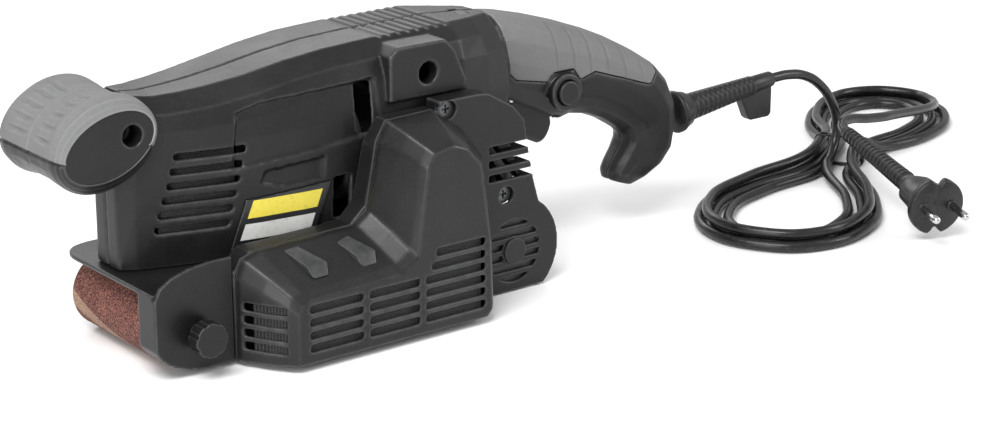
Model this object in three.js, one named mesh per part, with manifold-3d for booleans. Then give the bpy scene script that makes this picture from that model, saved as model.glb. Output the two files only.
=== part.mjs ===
// Handheld belt sander, 76 x 533 mm belt, with a side dust box, a pistol rear handle and a mains lead.
// Units are millimetres. +X runs back towards the rear handle, +Y to the operator's right, +Z up.
// The origin is the middle of the flat underside of the sanding belt.
import * as THREE from 'three';
import { mergeVertices } from 'three/addons/utils/BufferGeometryUtils.js';
import Module from 'manifold-3d';

const wasm = await Module();
wasm.setup();

// ---------------------------------------------------------------- driving dimensions
const BELT_WIDTH = 76;
const BELT_LENGTH = 533;
const BELT_THICK = 1;
const ROLLER_R = 20;                 // inner radius of the belt where it turns
const REAR_AXIS_X = 101.5;           // drive roller axis
const GAP = 0.3;                     // clearance between neighbouring pieces
const WALL = 3;                      // moulded housing wall
const SIDE_Y = -56;                  // outer plane of the guard, the side frame and the drive cover
const MOTOR_Z = 92;                  // motor axis, parallel to X
const JACK_X = 70;                   // jackshaft axis, parallel to Y at motor height
const DUST_BOX_OUT_Y = -88;          // outermost face of the dust box
const HANDLE_END_X = 267;            // rear face of the handle, where the lead comes out
const CORD_D = 6.2;

const BELT_HALF = BELT_WIDTH / 2;
const AXIS_Z = ROLLER_R + BELT_THICK;
const NEUTRAL_R = ROLLER_R + BELT_THICK / 2;
const AXIS_SPAN = (BELT_LENGTH - 2 * Math.PI * NEUTRAL_R) / 2;
const FRONT_AXIS_X = REAR_AXIS_X - AXIS_SPAN;

// ---------------------------------------------------------------- materials
const finish = (color, roughness, metalness = 0) =>
  new THREE.MeshStandardMaterial({ color, roughness, metalness });
const BLACK = finish(0x2e2f30, 0.55);
const BOX_BLACK = finish(0x353637, 0.5);
const GREY_GRIP = finish(0x8b8c8d, 0.75);
const RUBBER = finish(0x191919, 0.7);
const STEEL = finish(0xb9bcc0, 0.3, 1);
const DARK_STEEL = finish(0x55585c, 0.45, 1);
const ALLOY = finish(0x9a9c9e, 0.45, 1);
const COPPER = finish(0xb8703c, 0.35, 1);
const CARBON = finish(0x222222, 0.8);
const GRIT = finish(0x6b3a33, 0.95);
const LEAD = finish(0x1c1c1d, 0.45);
const LABEL = finish(0xe6d92a, 0.4);
const MESH_GREY = finish(0x141414, 0.7);
const PHENOLIC = finish(0x3b2a1e, 0.6);

// ---------------------------------------------------------------- solid helpers
const CURVE_STEPS = 5;
function solid(geometry) {
  const bare = new THREE.BufferGeometry();
  bare.setAttribute('position', geometry.getAttribute('position'));
  bare.setIndex(geometry.getIndex());
  const merged = mergeVertices(bare, 1e-4);
  const index = merged.getIndex().array;
  const kept = [];
  for (let i = 0; i < index.length; i += 3) {
    const [a, b, c] = [index[i], index[i + 1], index[i + 2]];
    if (a !== b && b !== c && c !== a) kept.push(a, b, c);
  }
  const make = (triangles) => new wasm.Manifold(new wasm.Mesh({
    numProp: 3,
    vertProperties: new Float32Array(merged.getAttribute('position').array),
    triVerts: new Uint32Array(triangles),
  }));
  const made = make(kept);
  return made.volume() < 0 ? make(kept.reverse()) : made;
}

const join = (...parts) => parts.reduce((whole, part) => whole.add(part));
const cut = (whole, ...tools) => tools.reduce((rest, tool) => rest.subtract(tool), whole);

// A body with GAP added on every side, near enough, for the seat that it lies in.
function seatFor(body) {
  const shifts = [[GAP, 0, 0], [-GAP, 0, 0], [0, GAP, 0], [0, -GAP, 0], [0, 0, GAP], [0, 0, -GAP]];
  return join(...shifts.map((shift) => body.translate(shift)));
}

function geometryOf(body) {
  const mesh = body.getMesh();
  const geometry = new THREE.BufferGeometry();
  geometry.setAttribute('position', new THREE.BufferAttribute(mesh.vertProperties.slice(), 3));
  geometry.setIndex(new THREE.BufferAttribute(mesh.triVerts.slice(), 1));
  geometry.computeVertexNormals();
  return geometry;
}

function block(x0, x1, y0, y1, z0, z1) {
  const geometry = new THREE.BoxGeometry(x1 - x0, y1 - y0, z1 - z0);
  geometry.translate((x0 + x1) / 2, (y0 + y1) / 2, (z0 + z1) / 2);
  return solid(geometry);
}

// A round bar along 'x', 'y' or 'z', from one end to the other, at the given cross position.
function bar(axis, from, to, a, b, radius, sides = 18, endRadius = radius) {
  const geometry = new THREE.CylinderGeometry(endRadius, radius, to - from, sides);
  const middle = (from + to) / 2;
  if (axis === 'x') geometry.rotateZ(-Math.PI / 2).translate(middle, a, b);
  if (axis === 'y') geometry.translate(a, middle, b);
  if (axis === 'z') geometry.rotateX(Math.PI / 2).translate(a, b, middle);
  return solid(geometry);
}

const ringBar = (axis, from, to, a, b, outer, inner, sides = 20) =>
  cut(bar(axis, from, to, a, b, outer, sides), bar(axis, from - 1, to + 1, a, b, inner, sides));

// Extrudes an outline drawn in (x, z) from y0 to y1, with an optional rounded edge.
function slab(shape, y0, y1, edge = 0, steps = 2) {
  const geometry = new THREE.ExtrudeGeometry(shape, {
    depth: y1 - y0 - 2 * edge,
    bevelEnabled: edge > 0,
    bevelSize: edge,
    bevelThickness: edge,
    bevelOffset: -edge,
    bevelSegments: steps,
    curveSegments: CURVE_STEPS,
  });
  geometry.rotateX(Math.PI / 2);
  geometry.translate(0, y1 - edge, 0);
  return solid(geometry);
}

// Triangles over a flat ring, which may be concave, turning the same way as the ring.
function capTriangles(ring) {
  const normal = new THREE.Vector3();
  ring.forEach((p, i) => normal.add(p.clone().cross(ring[(i + 1) % ring.length])));
  const [nx, ny, nz] = normal.toArray().map(Math.abs);
  const flat = ring.map((p) => {
    if (nx > ny && nx > nz) return new THREE.Vector2(p.y, p.z);
    return ny > nz ? new THREE.Vector2(p.z, p.x) : new THREE.Vector2(p.x, p.y);
  });
  const triangles = THREE.ShapeUtils.triangulateShape(flat, []);
  const turn = Math.sign(THREE.ShapeUtils.area(flat));
  const sameTurn = (face) => THREE.ShapeUtils.area(face.map((i) => flat[i])) * turn > 0;
  return triangles.map((face) => (sameTurn(face) ? face : face.reverse()));
}

// Closed skin through rings of equally many points, with flat ends.
function loft(rings) {
  const count = rings[0].length;
  const index = [];
  for (let r = 0; r + 1 < rings.length; r++) {
    for (let i = 0; i < count; i++) {
      const a = r * count + i;
      const b = r * count + (i + 1) % count;
      index.push(a, b, b + count, a, b + count, a + count);
    }
  }
  const last = (rings.length - 1) * count;
  for (const [a, b, c] of capTriangles(rings[0])) index.push(c, b, a);
  for (const [a, b, c] of capTriangles(rings.at(-1))) index.push(last + a, last + b, last + c);
  const geometry = new THREE.BufferGeometry().setFromPoints(rings.flat());
  geometry.setIndex(index);
  return solid(geometry);
}

function outline(points) {
  return new THREE.Shape(points.map(([x, z]) => new THREE.Vector2(x, z)));
}

// Moves a closed outline inwards by a wall's thickness, corner by corner.
function insetOutline(points, wall) {
  const turn = Math.sign(THREE.ShapeUtils.area(points.map(([x, z]) => ({ x, y: z }))));
  return points.map(([x, z], i) => {
    const before = points.at(i - 1);
    const after = points[(i + 1) % points.length];
    const a = new THREE.Vector2(x - before[0], z - before[1]).normalize();
    const b = new THREE.Vector2(after[0] - x, after[1] - z).normalize();
    const inward = new THREE.Vector2(-a.y - b.y, a.x + b.x).multiplyScalar(turn).normalize();
    const reach = wall / Math.max(0.5, Math.abs(inward.x * -a.y + inward.y * a.x));
    return [x + inward.x * reach, z + inward.y * reach];
  });
}

function stadium(x0, x1, z, radius) {
  const shape = new THREE.Shape();
  shape.moveTo(x0, z - radius);
  shape.lineTo(x1, z - radius);
  shape.absarc(x1, z, radius, -Math.PI / 2, Math.PI / 2, false);
  shape.lineTo(x0, z + radius);
  shape.absarc(x0, z, radius, Math.PI / 2, 1.5 * Math.PI, false);
  return shape;
}

// Straight-line reading of a short table of [at, value] stations.
function between(stations, at) {
  if (at <= stations[0][0]) return stations[0][1];
  for (let i = 1; i < stations.length; i++) {
    const [x0, v0] = stations[i - 1];
    const [x1, v1] = stations[i];
    if (at <= x1) return v0 + (v1 - v0) * (at - x0) / (x1 - x0);
  }
  return stations.at(-1)[1];
}

// ---------------------------------------------------------------- the scene
const sander = new THREE.Group();

function put(name, body, material, parent = sander) {
  const mesh = new THREE.Mesh(geometryOf(body), material);
  mesh.name = name;
  parent.add(mesh);
  return mesh;
}

// A turned piece is made about its own axis and then placed there.
function shaftGroup(x, y, z) {
  const group = new THREE.Group();
  group.position.set(x, y, z);
  sander.add(group);
  return group;
}

// ---------------------------------------------------------------- motor housing, two halves
const BODY_FRONT_X = -120.5;
const TOP = [[BODY_FRONT_X, 140], [-100, 137.5], [-77, 138.5], [-50, 142], [-20, 147], [10, 150], [85, 151],
  [98, 149.5], [112, 148.5], [118, 148]];
const BASE_HALF = [[BODY_FRONT_X, 11], [-113, 16], [-99, 21], [-75, 28], [-58, 32], [-20, 37], [10, 39],
  [112, 39], [118, 36]];
const BARREL_HALF = [[BODY_FRONT_X, 10.5], [-113, 19], [-99, 26], [-75, 33], [-50, 38], [-20, 41], [10, 42],
  [85, 41], [100, 37], [117, 32]];
const SHOULDER_HALF = [[BODY_FRONT_X, 15], [-113, 22], [-99, 27], [-75, 31], [-50, 34], [0, 36], [80, 35.5],
  [95, 31], [108, 25], [118, 21]];
const BODY_FLOOR_Z = 47.3;
const BAND_DROP = 8;                 // height of the sloping flank beside the flat top
const BODY_STATIONS = [BODY_FRONT_X, -113, -99, -85, -70, -50, -25, 0, 30, 80, 100, 112, 117];

// Half section of the motor housing, from the top centre down to the floor.
function halfSection(x, inset) {
  const top = between(TOP, x) - inset;
  const base = between(BASE_HALF, x) - inset;
  const barrel = between(BARREL_HALF, x) - inset;
  const shoulder = between(SHOULDER_HALF, x) - inset;
  const floor = BODY_FLOOR_Z + inset;
  return [
    [shoulder - 11, top],
    [shoulder, top - BAND_DROP],
    [(shoulder + barrel) / 2 + 1, top - BAND_DROP - 10],
    [barrel, 112],
    [barrel - 0.4, 98],
    [(barrel + base) / 2, 78],
    [base, floor],
  ];
}

function bodyLoft(stations, inset) {
  return loft(stations.map((x) => {
    const half = halfSection(x, inset);
    const right = half.map(([y, z]) => new THREE.Vector3(x, y, z));
    const left = half.map(([y, z]) => new THREE.Vector3(x, -y, z)).reverse();
    return [...left, ...right];
  }));
}

// Rear handle as stations from the neck to the tip of the hook: the point on the palm's back,
// the point on the finger side, and the half width between them.
const HANDLE = [
  [92, 148, 92, 94, 21],
  [112, 148.4, 112, 94.5, 20],
  [129, 146.3, 131, 92, 19],
  [150, 141, 151, 82, 18.5],
  [171, 134.5, 165, 75.5, 18.5],
  [184, 129.7, 172, 75, 18.5],
  [194, 126, 180, 77, 18.5],
  [210, 119, 194, 74.5, 18.5],
  [228, 109.5, 206, 69.5, 18],
  [243, 100, 216, 63.5, 17.5],
  [254, 88.5, 223, 59, 17],
  [260.5, 75, 225.8, 55.5, 16.5],
  [261.8, 60, 225.2, 51, 16],
  [260, 46, 221.5, 45.5, 15.5],
  [252, 36.5, 217.5, 40, 15],
  [240, 30, 215, 35, 13.5],
  [229, 26, 216, 30, 10],
];
const HANDLE_HALF = HANDLE[3][4];
const HANDLE_CORNERS = 16;

// A rounded section, slimmer on the finger side than on the palm's back.
function handleBar(inset, from = 0, to = HANDLE.length) {
  return loft(HANDLE.slice(from, to).map(([backX, backZ, fingerX, fingerZ, half]) => {
    const middle = new THREE.Vector3((backX + fingerX) / 2, 0, (backZ + fingerZ) / 2);
    const reach = new THREE.Vector3(fingerX, 0, fingerZ).sub(middle);
    const depth = reach.length() - inset;
    reach.normalize();
    return Array.from({ length: HANDLE_CORNERS }, (_, k) => {
      const angle = k / HANDLE_CORNERS * 2 * Math.PI;
      const [c, d] = [Math.cos(angle), Math.sin(angle)];
      const across = Math.sign(d) * Math.abs(d) ** 0.8 * (half - inset) * (1 - 0.14 * c);
      const along = Math.sign(c) * Math.abs(c) ** 0.8 * depth;
      return middle.clone().addScaledVector(reach, along).setY(across);
    });
  }));
}

// What is left of the handle under its soft skin.
const PALM_SKIN = 2.4;
const handleCore = (gap) => handleBar(PALM_SKIN - gap);

// Front grip: ellipses that lean forward, largest short of the ends, which roll over to flat faces.
// Each station is the share of the half width, the long and the short half axis.
const GRIP = { x: -134, z: 120.5, lean: THREE.MathUtils.degToRad(19), half: 32.5 };
const GRIP_HALF_STATIONS = [[0, 30, 20], [0.35, 30, 20.8], [0.72, 30.3, 22.8], [0.9, 29.3, 20.5], [1, 27, 16.3]];
const GRIP_STATIONS = [
  ...GRIP_HALF_STATIONS.slice(1).reverse().map(([share, long, short]) => [-share, long, short]),
  ...GRIP_HALF_STATIONS,
];
const GRIP_CORNERS = 18;
function gripBar(inset, half = GRIP.half) {
  return loft(GRIP_STATIONS.map(([share, long, short]) =>
    Array.from({ length: GRIP_CORNERS }, (_, k) => {
      const angle = k / GRIP_CORNERS * 2 * Math.PI;
      const u = (long - inset) * Math.cos(angle);
      const v = (short - inset) * Math.sin(angle);
      const x = GRIP.x + u * Math.cos(GRIP.lean) - v * Math.sin(GRIP.lean);
      const z = GRIP.z + u * Math.sin(GRIP.lean) + v * Math.cos(GRIP.lean);
      return new THREE.Vector3(x, -share * half, z);
    })));
}

// The clamp boss stands on the left flank below the neck.
const CLAMP_BOSS = { x: 52, z: 131, bore: 6 };
const bossOutline = outline([[27, 118.5], [27, 143], [33, 147.5], [64, 147.5], [70, 141], [78, 123],
  [76, 118.5]]);

const GRIP_SKIN = 2.6;
const gripRegion = block(-175, -111, -29, 29, 116.5, 160);
const palmRegion = outline([[118, 160], [129, 112], [134, 107.5], [156, 103], [160, 108], [175, 108],
  [180, 101], [191, 104], [234, 89], [241, 95], [250, 130], [190, 165]]);

function wholeShell() {
  const outer = join(
    bodyLoft(BODY_STATIONS, 0),
    handleBar(0),
    gripBar(0),
    slab(bossOutline, -45, -30),
  );
  const skinnedAway = join(
    cut(seatFor(gripRegion), gripBar(GRIP_SKIN, GRIP.half + 4)),
    cut(seatFor(slab(palmRegion, -30, 30)), handleCore(0)),
  );
  const hollow = join(
    bodyLoft([-112, -99, -85, -70, -50, -25, 0, 30, 80, 100, 112], WALL),
    cut(handleBar(2 * WALL, 1, 13), block(128, 180, -40, 40, 60, 84)),
    bar('y', -26, 26, GRIP.x, GRIP.z, 9, 16),
  );
  return { outer, skinnedAway, hollow };
}
const shell = wholeShell();

// Ribs across the flat top, a rest for the turned-over machine.
const REST_RIBS = { first: 33, pitch: 6.2, count: 8, width: 3.2, depth: 2 };
function ribGrooves() {
  const grooves = [];
  for (let k = 0; k < REST_RIBS.count; k++) {
    const x = REST_RIBS.first + k * REST_RIBS.pitch;
    grooves.push(block(x, x + REST_RIBS.pitch - REST_RIBS.width, -26, 26, 151 - REST_RIBS.depth, 160));
  }
  return grooves;
}

// Six slanted air inlets on each flank beside the commutator.
function inletSlots() {
  const slots = [];
  for (let k = 0; k < 6; k++) {
    const z = 66 + 7.8 * k;
    const x0 = -104 + 1.8 * k;
    slots.push(block(x0, x0 + 38, -60, -14, z, z + 3.6));
    slots.push(block(x0, x0 + 38, 14, 60, z, z + 3.6));
  }
  return slots;
}

const SPEED_DIAL = { x: 104, y: -3, z: 126.5, radius: 22.6, half: 3.2 };
const LOCK_BUTTON = { x: 167, z: 96, radius: 7 };
// Shallow steps moulded into the left flank: a long panel over the motor and an arrow under it.
const STEP_DEPTH = 1.4;
const flankSteps = [
  [[-66, 96], [-62, 126], [-48, 129.5], [20, 133], [23, 104], [-10, 101], [-50, 98]],
  [[-47, 93.5], [-12, 96], [-13, 84], [-36, 83], [-50, 87]],
].map((points) => cut(slab(outline(points), -60, -20), bodyLoft(BODY_STATIONS, STEP_DEPTH)));
const motorBore = bar('x', -103.5, -92.5, 0, MOTOR_Z, 9.3, 20);
const bearingWall = cut(
  bodyLoft([-103, -99, -93], WALL - 0.5),
  motorBore,
  block(-110, -90, -60, 60, 40, 70),
  block(-110, -90, -60, 60, 116, 170),
);

const openings = [
  ...flankSteps,
  ...ribGrooves(),
  ...inletSlots(),
  bar('y', -60, -20, -121, 124, 5.6, 20),                                    // clamp socket, front
  bar('y', -60, -28, CLAMP_BOSS.x, CLAMP_BOSS.z, CLAMP_BOSS.bore, 20),         // clamp socket, rear
  block(8, 18, -60, -34, 104, 131),                                           // narrow window to the fan
  block(-6, 4, -60, -34, 60, 83),                                             // outlet slot under it
  bar('x', SPEED_DIAL.x - SPEED_DIAL.half - 0.4, SPEED_DIAL.x + SPEED_DIAL.half + 0.4,
    SPEED_DIAL.y, SPEED_DIAL.z, SPEED_DIAL.radius + 0.5, 36),
  bar('y', -40, -8, LOCK_BUTTON.x, LOCK_BUTTON.z, LOCK_BUTTON.radius + 0.5, 24),
  bar('y', -45, -30, 57, 112, 2.3, 12),                                       // upper cover screw
  block(130.6, 172, -9.5, 9.5, 60, 101),                                       // trigger well
  bar('y', -60, -20, JACK_X, MOTOR_Z, 13, 24),                                 // jackshaft to the belt drive
  bar('x', 240, 280, 0, 62, 7.6, 20),                                         // cord entry
];

const fullShell = cut(join(cut(shell.outer, shell.skinnedAway, shell.hollow), bearingWall), ...openings);
const leftSide = block(-200, 300, -80, -GAP / 2, 0, 200);
const rightSide = block(-200, 300, GAP / 2, 80, 0, 200);
const buttonRing = ringBar('y', -22.4, -17, LOCK_BUTTON.x, LOCK_BUTTON.z, 11, LOCK_BUTTON.radius + 0.5);
put('housing_left', join(fullShell.intersect(leftSide), buttonRing), BLACK);
put('housing_right', fullShell.intersect(rightSide), BLACK);

// Soft grey skins that lie over the two grips.
const gripSkin = cut(gripBar(0).intersect(gripRegion), gripBar(GRIP_SKIN - GAP, GRIP.half + 4));
put('front_grip_skin', gripSkin, GREY_GRIP);
const palmSkin = cut(
  handleBar(0).intersect(slab(palmRegion, -30, 30)),
  handleCore(GAP),
  bar('y', -40, 0, LOCK_BUTTON.x, LOCK_BUTTON.z, 11 + GAP, 24),
);
put('handle_grip_skin', palmSkin, GREY_GRIP);

// ---------------------------------------------------------------- guard, side frame, drive cover
// The guard covers the front roller: a deck over the belt, a side plate and a lip round the front.
const DECK_Z = 44.4;
const guardPlate = new THREE.Shape();
guardPlate.moveTo(-81, 3);
guardPlate.lineTo(-81, 59);
guardPlate.bezierCurveTo(-104, 60, -124, 56, -126.5, 44);
guardPlate.lineTo(-126.5, 17);
guardPlate.quadraticCurveTo(-120, 5, -100, 3);
const lipHollow = new THREE.Shape();
lipHollow.moveTo(-70, 0);
lipHollow.lineTo(-70, DECK_Z);
lipHollow.lineTo(-122, DECK_Z);
lipHollow.lineTo(-124.3, 44);
lipHollow.lineTo(-124.3, 18);
lipHollow.quadraticCurveTo(-118.5, 7.2, -100, 5.2);
lipHollow.lineTo(-100, 0);
const deckShape = new THREE.Shape();
deckShape.moveTo(-46, -42.8);
deckShape.lineTo(-46, 43);
deckShape.lineTo(-106, 43);
deckShape.quadraticCurveTo(-126.5, 43, -126.5, 24);
deckShape.lineTo(-126.5, SIDE_Y + 3);
deckShape.lineTo(-81, SIDE_Y + 3);
deckShape.lineTo(-81, -42.8);
const deckGeometry = new THREE.ExtrudeGeometry(deckShape, {
  depth: 2.6,
  bevelEnabled: false,
  curveSegments: 8,
});
deckGeometry.translate(0, 0, DECK_Z);
const TRACK_X = -102;                // tracking knob and its screw
const TRACK_Z = 22.5;
put('front_guard', cut(
  join(
    slab(guardPlate, SIDE_Y, SIDE_Y + 2.4),
    cut(slab(guardPlate, SIDE_Y + 1, -39), slab(lipHollow, SIDE_Y + 2.4, -30),
      block(-130, -70, SIDE_Y + 2.4, -30, DECK_Z + 1, 70)),
    solid(deckGeometry),
  ),
  bar('y', -60, -50, TRACK_X, TRACK_Z, 3.4, 20),
), BLACK);

// Side frame: the shallow tub behind the dust box, with the round dust outlet in its face.
const SIDE_INNER_Y = -43.2;
const DUST_OUTLET = { x: 28, z: 84, radius: 15, wall: 2 };
const outletBoss = DUST_OUTLET.radius + DUST_OUTLET.wall;
const sideFrameShape = outline([[-80.4, 3], [-80.4, 50], [-70, 59.5], [-8, 61], [2, 70], [9, 100], [18, 113],
  [50, 113], [50.5, 98], [53.5, 84], [75, 3]]);
const sideFrameHollow = outline([[-77.6, 5.6], [-77.6, 48.5], [-69, 56.7], [-6.5, 58.2], [4.8, 69], [11.8, 99],
  [19.5, 110.2], [47.4, 110.2], [47.8, 97.4], [50.9, 83], [71.4, 5.6]]);
put('side_frame', cut(
  join(
    cut(slab(sideFrameShape, SIDE_Y, SIDE_INNER_Y), slab(sideFrameHollow, SIDE_Y + 2.4, -40)),
    bar('y', SIDE_Y + 1, SIDE_INNER_Y, DUST_OUTLET.x, DUST_OUTLET.z, outletBoss, 28),
  ),
  bar('y', -60, -40, DUST_OUTLET.x, DUST_OUTLET.z, DUST_OUTLET.radius, 28),
), BLACK);

// Drive cover: the belt drive's shell, with louvres at the back and the ribbed round end cap.
const COVER_R = 31;
const COVER_Z = 24;                  // centre of the cover's round end
const driveCoverShape = new THREE.Shape();
driveCoverShape.moveTo(76, 1);
driveCoverShape.lineTo(122, 1);
driveCoverShape.absarc(REAR_AXIS_X, COVER_Z, COVER_R, -0.83, 0.98, false);
driveCoverShape.lineTo(115, 63);
driveCoverShape.lineTo(110, 88);
driveCoverShape.lineTo(108.5, 98);
driveCoverShape.lineTo(101, 106.5);
driveCoverShape.lineTo(84, 116.5);
driveCoverShape.lineTo(76, 117.5);
driveCoverShape.lineTo(51, 117.5);
driveCoverShape.lineTo(51, 98);
driveCoverShape.lineTo(54.5, 84);
const COVER_INNER_Y = -43.5;
const coverHollow = join(
  bar('y', SIDE_Y + 2.4, -40, REAR_AXIS_X, COVER_Z, COVER_R - 3, 32),
  bar('y', SIDE_Y + 2.4, -40, JACK_X, MOTOR_Z, 13.5, 28),
  slab(outline([[57, 90], [76, 14], [127, 40], [83, 98]]), SIDE_Y + 2.4, -40)
    .intersect(slab(driveCoverShape, -70, -30)),
);
function capRibs() {
  const ribs = [];
  for (let k = -2; k <= 2; k++) {
    const z = COVER_Z + k * 6.4;
    ribs.push(block(80, 125, SIDE_Y, SIDE_Y + 2.4, z - 1.5, z + 1.5));
  }
  return join(...ribs).intersect(bar('y', -60, -50, REAR_AXIS_X, COVER_Z, 18.5, 24));
}
const LOUVRES = { first: 66, pitch: 8, count: 3, height: 4.2 };
function louvreSlots() {
  const slots = [];
  for (let k = 0; k < LOUVRES.count; k++) {
    const z = LOUVRES.first + k * LOUVRES.pitch;
    slots.push(block(84, 130, -60, -50.5, z, z + LOUVRES.height));
    slots.push(block(108 - k * 2.4, 130, -60, -30, z, z + LOUVRES.height));
  }
  return slots;
}
const COVER_SCREWS = [[57, 112], [96, 57]];
put('drive_cover', join(
  cut(slab(driveCoverShape, SIDE_Y, COVER_INNER_Y), coverHollow,
    bar('y', -60, -52, REAR_AXIS_X, COVER_Z, 18, 24),
    ...COVER_SCREWS.map(([x, z]) => bar('y', -60, -49.8, x, z, 5, 16)),
    ...COVER_SCREWS.map(([x, z]) => bar('y', -60, -40, x, z, 2.3, 10)),
    block(50, 57, -60, -52, 109, 115),
    ...louvreSlots()),
  cut(capRibs(), bar('y', -60, -50, REAR_AXIS_X, COVER_Z, 6.6, 24)),
  ringBar('y', SIDE_Y, SIDE_Y + 2.4, REAR_AXIS_X, COVER_Z, 8.4, 6.6, 24),
), BLACK);
put('roller_end_cap', join(
  bar('y', SIDE_Y - 1.2, SIDE_Y + 0.6, REAR_AXIS_X, COVER_Z, 7.4, 24),
  bar('y', SIDE_Y, SIDE_Y + 2.2, REAR_AXIS_X, COVER_Z, 6.2, 24),
).subtract(ringBar('y', SIDE_Y - 0.3, SIDE_Y + 0.9, REAR_AXIS_X, COVER_Z, 9, 6.2, 24)), BOX_BLACK);

function capScrew(name, x, z, headY, length) {
  const head = bar('y', headY, headY + 2.6, x, z, 4, 16);
  const shank = bar('y', headY + 2, headY + length, x, z, 1.9, 8);
  const cross = join(block(x - 2.4, x + 2.4, headY - 1, headY + 1.4, z - 0.6, z + 0.6),
    block(x - 0.6, x + 0.6, headY - 1, headY + 1.4, z - 2.4, z + 2.4));
  put(name, cut(join(head, shank), cross), DARK_STEEL);
}
capScrew('cover_screw_upper', ...COVER_SCREWS[0], -52.7, 12.2);
capScrew('cover_screw_lower', ...COVER_SCREWS[1], -52.7, 12.2);

// ---------------------------------------------------------------- belt, frame and platen
put('sanding_belt', cut(
  slab(stadium(FRONT_AXIS_X, REAR_AXIS_X, AXIS_Z, ROLLER_R + BELT_THICK), -BELT_HALF, BELT_HALF),
  slab(stadium(FRONT_AXIS_X, REAR_AXIS_X, AXIS_Z, ROLLER_R), -BELT_HALF - 1, BELT_HALF + 1),
), GRIT);

const FRAME_PLATE_Y = [-42.9, -39];
const framePlate = outline([[-68, 5], [-68, 40], [-62, DECK_Z - 0.4], [110, DECK_Z - 0.4], [119, 38], [119, 8],
  [115, 5]]);
const PLATEN_TOP = 7;
const frameBlock = block(-34, 70, -39.5, 33, PLATEN_TOP + GAP, 40.4);
const framePockets = [
  block(-30, -1, -34, 40, 12, 37),
  block(3, 32, -34, 40, 12, 37),
  block(36, 66, -34, 40, 12, 37),
];
const YOKE = { z: AXIS_Z, stem: 8, armIn: 34.3, armOut: 37.3, barX: [-68, -61] };
const LEVER = { x: -47, y: 33, z: AXIS_Z };
const leverEars = [[AXIS_Z + 8.4, AXIS_Z + 11.6], [AXIS_Z - 11.6, AXIS_Z - 8.4]].map(([z0, z1]) => cut(
  join(block(LEVER.x, -33, 24, 38, z0, z1), bar('z', z0, z1, LEVER.x, LEVER.y, 5)),
  bar('z', z0 - 1, z1 + 1, LEVER.x, LEVER.y, 2.5 + GAP, 12),
));
const rearArm = join(
  block(66, REAR_AXIS_X, 34.3, 37.3, AXIS_Z - 9, AXIS_Z + 9),
  bar('y', 34.3, 37.3, REAR_AXIS_X, AXIS_Z, 10.5, 24),
);
put('base_frame', cut(
  join(slab(framePlate, ...FRAME_PLATE_Y), cut(frameBlock, ...framePockets),
    block(60, 68, 30, 37.3, 11, 40), rearArm, ...leverEars),
  bar('y', -50, -30, REAR_AXIS_X, AXIS_Z, 11.3, 28),
  bar('y', 30, 40, REAR_AXIS_X, AXIS_Z, 8.3, 24),
  bar('x', -40, -28, 0, AXIS_Z, YOKE.stem + GAP, 24),
), ALLOY);
put('platen', block(-62, 74, -37, 37, 3.9, PLATEN_TOP), STEEL);
put('platen_pad', block(-62, 74, -37, 37, BELT_THICK + GAP, 3.6), CARBON);

// ---------------------------------------------------------------- drive roller on its shaft
const SHAFT_R = 5;
const driveAxle = shaftGroup(REAR_AXIS_X, 0, AXIS_Z);
put('drive_roller_core', ringBar('y', -33.4, 33.6, 0, 0, 18, SHAFT_R + GAP, 24), ALLOY, driveAxle);
put('drive_roller_tyre', ringBar('y', -33.4, 33.6, 0, 0, ROLLER_R - GAP, 18 + GAP, 28), RUBBER, driveAxle);
put('drive_shaft', join(
  bar('y', -53.2, 37.6, 0, 0, SHAFT_R),
  bar('y', -38.8, -33.8, 0, 0, 7),
), STEEL, driveAxle);

// A toothed pulley: shallow grooves round the rim leave its teeth inside the plain rim radius.
function pulley(name, y0, y1, radius, bore, teeth, parent) {
  const grooves = [];
  for (let k = 0; k < teeth; k++) {
    const angle = k / teeth * 2 * Math.PI;
    grooves.push(bar('y', y0 - 1, y1 + 1, radius * Math.cos(angle), radius * Math.sin(angle), 1, 4));
  }
  put(name, cut(ringBar('y', y0, y1, 0, 0, radius, bore, 24), ...grooves), ALLOY, parent);
}
const DRIVE_BELT = { y0: -52, y1: -44.2, small: 9, large: 18, thick: 1.6 };
pulley('large_pulley', DRIVE_BELT.y0, DRIVE_BELT.y1, DRIVE_BELT.large, SHAFT_R + GAP, 14, driveAxle);
put('drive_bearing_left', ringBar('y', -42.9, -39.2, REAR_AXIS_X, AXIS_Z, 11, SHAFT_R + GAP), STEEL);
put('drive_bearing_right', ringBar('y', 34.3, 37.3, REAR_AXIS_X, AXIS_Z, 8, SHAFT_R + GAP), STEEL);

// The toothed belt runs round both pulleys: an open belt between circles of two radii.
function openBeltOutline(offset) {
  const r1 = DRIVE_BELT.small + offset;
  const r2 = DRIVE_BELT.large + offset;
  const dx = REAR_AXIS_X - JACK_X;
  const dz = AXIS_Z - MOTOR_Z;
  const heading = Math.atan2(dz, dx);
  const spread = Math.acos((r1 - r2) / Math.hypot(dx, dz));
  const shape = new THREE.Shape();
  shape.absarc(JACK_X, MOTOR_Z, r1, heading + spread, heading - spread + 2 * Math.PI, false);
  shape.absarc(REAR_AXIS_X, AXIS_Z, r2, heading - spread, heading + spread, false);
  shape.closePath();
  return shape;
}
put('toothed_belt', cut(
  slab(openBeltOutline(GAP + DRIVE_BELT.thick), DRIVE_BELT.y0, DRIVE_BELT.y1),
  slab(openBeltOutline(GAP), DRIVE_BELT.y0 - 1, DRIVE_BELT.y1 + 1),
), RUBBER);

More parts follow.
